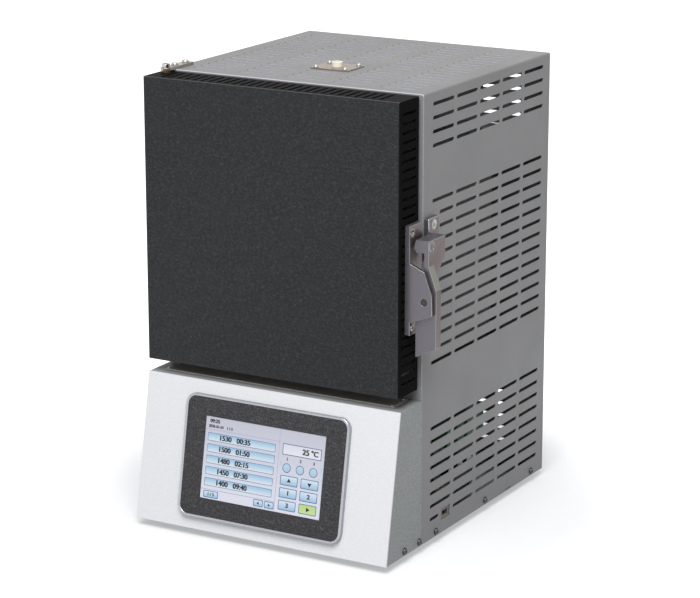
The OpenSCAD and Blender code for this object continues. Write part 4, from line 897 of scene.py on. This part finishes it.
def tile(box, radius, lift, material):
    """A thin key with rounded corners. The box is left, top, right and bottom as shares of the page."""
    left, top, right, bottom = box
    middle = ((left + right) / 2 * PAGE_W, -(top + bottom) / 2 * PAGE_H, lift)
    bpy.ops.mesh.primitive_plane_add(size=1, location=middle)
    piece = bpy.context.object
    piece.scale = ((right - left) * PAGE_W, (bottom - top) * PAGE_H, 1)
    bpy.ops.object.transform_apply(location=True, rotation=False, scale=True)
    bpy.ops.object.mode_set(mode="EDIT")
    bpy.ops.mesh.select_all(action="SELECT")
    bpy.ops.mesh.bevel(offset=radius, segments=4, affect="VERTICES")
    thicken_flat()
    drawn.append(dress(piece, material))


def key(box, radius, fill, line_mm=0.8):
    """A key with its outline."""
    left, top, right, bottom = box
    wide, high = line_mm / PAGE_W, line_mm / PAGE_H
    tile(box, radius, OUTLINE_LIFT, outline_blue)
    tile((left + wide, top + high, right - wide, bottom - high), radius * 0.85, FILL_LIFT, fill)


def disc(across_share, down_share, radius, lift, material, corners=32, turn=0.0):
    """A round lamp, or with three corners an arrow."""
    bpy.ops.mesh.primitive_circle_add(vertices=corners, radius=radius, fill_type="NGON",
                                      rotation=(0, 0, turn),
                                      location=(across_share * PAGE_W, -down_share * PAGE_H, lift))
    piece = bpy.context.object
    bpy.ops.object.mode_set(mode="EDIT")
    bpy.ops.mesh.select_all(action="SELECT")
    thicken_flat()
    drawn.append(dress(piece, material))


def figures(text, across_share, down_share, size_mm, align="LEFT"):
    """Numbers in print, set three times a hair apart so that they are bold, and made a mesh at once."""
    for strike in (-1, 0, 1):
        bpy.ops.object.text_add(location=(across_share * PAGE_W + strike * STRIKE * size_mm,
                                          -down_share * PAGE_H, INK_LIFT + 0.01 * strike))
        piece = bpy.context.object
        piece.data.body = text
        piece.data.size = size_mm
        piece.data.align_x = align
        piece.data.align_y = "CENTER"
        piece.data.extrude = 0.01
        piece.data.offset = size_mm * BOLD
        only(piece)
        bpy.ops.object.convert(target="MESH")
        drawn.append(dress(bpy.context.object, ink))


# %% [markdown]
# Places on the page are shares of its width and height, read from left to right and from top to bottom,
# as a designer lays out a page that has to fit screens of any size.

# %% Draw the left side: heading, five programmes and the foot line
LEFT, DIVIDER = 0.025, 0.625
ROUND = 1.2
SMALL_ARROW, BIG_ARROW = 2.0, 3.0
POINT_UP, POINT_LEFT, POINT_DOWN, POINT_RIGHT = (math.radians(turn) for turn in (0, 90, 180, -90))
figures("09:25", LEFT + 0.01, 0.052, 5.6)
figures("2026-01-01   1 / 3", LEFT, 0.115, 4.2)
for level in (0.155, 0.885):
    tile((0.0, level - 0.004, DIVIDER, level + 0.004), 0.1, OUTLINE_LIFT, rule_lilac)
tile((DIVIDER - 0.002, 0.0, DIVIDER + 0.002, 1.0), 0.1, OUTLINE_LIFT, rule_lilac)
PROGRAMMES = ("1530   00:35", "1500   01:50", "1480   02:15", "1450   07:30", "1400   09:40")
for count, numbers in enumerate(PROGRAMMES):
    top = 0.195 + 0.137 * count
    key((LEFT, top, 0.595, top + 0.098), ROUND, programme_blue, 0.5)
    figures(numbers, 0.12, top + 0.05, 8.0)
key((LEFT, 0.9, 0.15, 0.985), ROUND, key_blue)
figures("1 / 3", 0.0875, 0.944, 4.8, "CENTER")
for left in (0.45, 0.54):
    key((left, 0.895, left + 0.08, 0.98), ROUND, key_blue)
disc(0.49, 0.938, SMALL_ARROW, INK_LIFT, ink, 3, POINT_LEFT)
disc(0.58, 0.938, SMALL_ARROW, INK_LIFT, ink, 3, POINT_RIGHT)
print("left side,", len(drawn), "things so far")

# %% [markdown]
# On the right stand the reading, three lamps in a broken frame, and six keys. Two of the keys move the
# hearth up and down, so they carry arrows, and the green one starts the programme.

# %% Draw the right side: reading, lamps and keys
key((0.655, 0.165, 0.975, 0.3), 0.8, reading_white, 0.8)
figures("25", 0.875, 0.236, 8.6, "RIGHT")
figures("\u00b0C", 0.89, 0.236, 8.2)
for left, right in ((0.645, 0.66), (0.745, 0.765), (0.855, 0.875), (0.96, 0.985)):
    for level in (0.39, 0.52):
        tile((left, level, right, level + 0.012), 0.1, OUTLINE_LIFT, programme_blue)
for left in (0.645, 0.98):
    tile((left, 0.39, left + 0.005, 0.53), 0.1, OUTLINE_LIFT, programme_blue)
for count, left in enumerate((0.7, 0.81, 0.92), 1):
    figures(str(count), left, 0.35, 4.4, "CENTER")
    disc(left, 0.455, 5.2, OUTLINE_LIFT, outline_blue)
    disc(left, 0.455, 4.4, FILL_LIFT, lamp_blue)
for row, (top, bottom) in enumerate(((0.545, 0.665), (0.695, 0.815), (0.845, 0.965))):
    for column, (left, right) in enumerate(((0.655, 0.8), (0.825, 0.97))):
        last = row == 2 and column == 1
        key((left, top, right, bottom), ROUND, start_green if last else key_blue)
        middle = ((left + right) / 2, (top + bottom) / 2)
        if row == 0:
            disc(*middle, BIG_ARROW, SIGN_LIFT, ink, 3, POINT_DOWN if column else POINT_UP)
        elif last:
            disc(*middle, BIG_ARROW, SIGN_LIFT, ink, 3, POINT_RIGHT)
        else:
            figures(str(2 * row + column - 1), *middle, 7.0, "CENTER")

# %% [markdown]
# All that was drawn is joined into one piece, scaled from millimetres and laid on the glass by a matrix
# whose columns are the screen's own directions: right, up and out.

# %% Lay the page on the glass
only(*drawn)
bpy.ops.object.join()
bpy.ops.object.transform_apply(location=True, rotation=True, scale=True)
page = bpy.context.object
page.name = "screen_page"
ways = Matrix((across.normalized(), -down.normalized(), outward)).transposed().to_4x4()
page.data.transform(Matrix.Translation(corner) @ ways @ Matrix.Scale(MM, 4))
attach(page, "cabinet")
print("page of", len(drawn), "drawn things,", len(page.data.polygons), "faces")

# %% [markdown]
# ## Light and floor
# One large softbox stands above and in front, a little to the right, so that the top is brightest, faces
# turned to the front come next and the right side is dimmer. A pale world fills the shadows. Only
# what the camera sees directly, or in gloss and glass, is the white of a studio sweep, which grows from
# the floor's own tone near the object to plain white farther away.

# %% Studio
def is_seen(tree):
    """One for rays from the camera, and for those that gloss and glass send on."""
    path = node(tree, "LightPath").outputs
    gloss = node(tree, "Math", {0: path["Is Camera Ray"], 1: path["Is Glossy Ray"]}, operation="MAXIMUM")
    return node(tree, "Math", {0: gloss.outputs["Value"], 1: path["Is Transmission Ray"]},
                operation="MAXIMUM").outputs["Value"]


world = bpy.data.worlds.new("studio")
bpy.context.scene.world = world
world.use_nodes = True
sky = world.node_tree.nodes["Background"]
FILL = 0.37
strength = node(world.node_tree, "MapRange", {"Value": is_seen(world.node_tree),
                                              "To Min": FILL, "To Max": 1.0})
world.node_tree.links.new(strength.outputs["Result"], sky.inputs["Strength"])
sky.inputs["Color"].default_value = (1, 1, 1, 1)

TARGET = cabinet + Vector((0, 120, 250)) * MM
SOFTBOX_WAY = Vector((0.25, -0.56, 0.79)).normalized()
SOFTBOX_FAR = 4.0
SOFTBOX_SIDE = 2.4
SOFTBOX_WATTS = 165
bpy.ops.object.light_add(type="AREA", location=TARGET + SOFTBOX_WAY * SOFTBOX_FAR)
softbox = bpy.context.object
softbox.name = "softbox"
softbox.data.shape = "SQUARE"
softbox.data.size = SOFTBOX_SIDE
softbox.data.energy = SOFTBOX_WATTS
softbox.rotation_euler = (-SOFTBOX_WAY).to_track_quat("-Z", "Y").to_euler()

FLOOR_SIZE = 12
OWN_TONE_REACH, PLAIN_WHITE_REACH = 0.24, 0.5
OWN_TONE_GLOW = 0.36
bpy.ops.mesh.primitive_plane_add(size=FLOOR_SIZE, location=(0, 0, 0))
floor = bpy.context.object
floor.name = "floor"
floor_paint, tree, shader = finish("matt_white_sweep", 0.9)
shader.inputs["Specular IOR Level"].default_value = 0.1
tint(tree, shader, grain(tree, 400), "c9cacc", "cdced0")
shader.inputs["Emission Color"].default_value = (1, 1, 1, 1)
from_middle = node(tree, "VectorMath", {0: node(tree, "TexCoord").outputs["Object"]}, operation="LENGTH")
sweep = node(tree, "MapRange", {"Value": from_middle.outputs["Value"],
                                "From Min": OWN_TONE_REACH, "From Max": PLAIN_WHITE_REACH,
                                "To Min": OWN_TONE_GLOW, "To Max": 1.0}, interpolation_type="SMOOTHSTEP")
glow = node(tree, "Math", {0: is_seen(tree), 1: sweep.outputs["Result"]}, operation="MULTIPLY")
tree.links.new(glow.outputs["Value"], shader.inputs["Emission Strength"])
dress(floor, floor_paint)
bpy.context.scene.view_settings.view_transform = "Standard"
print("softbox", SOFTBOX_WATTS, "W")
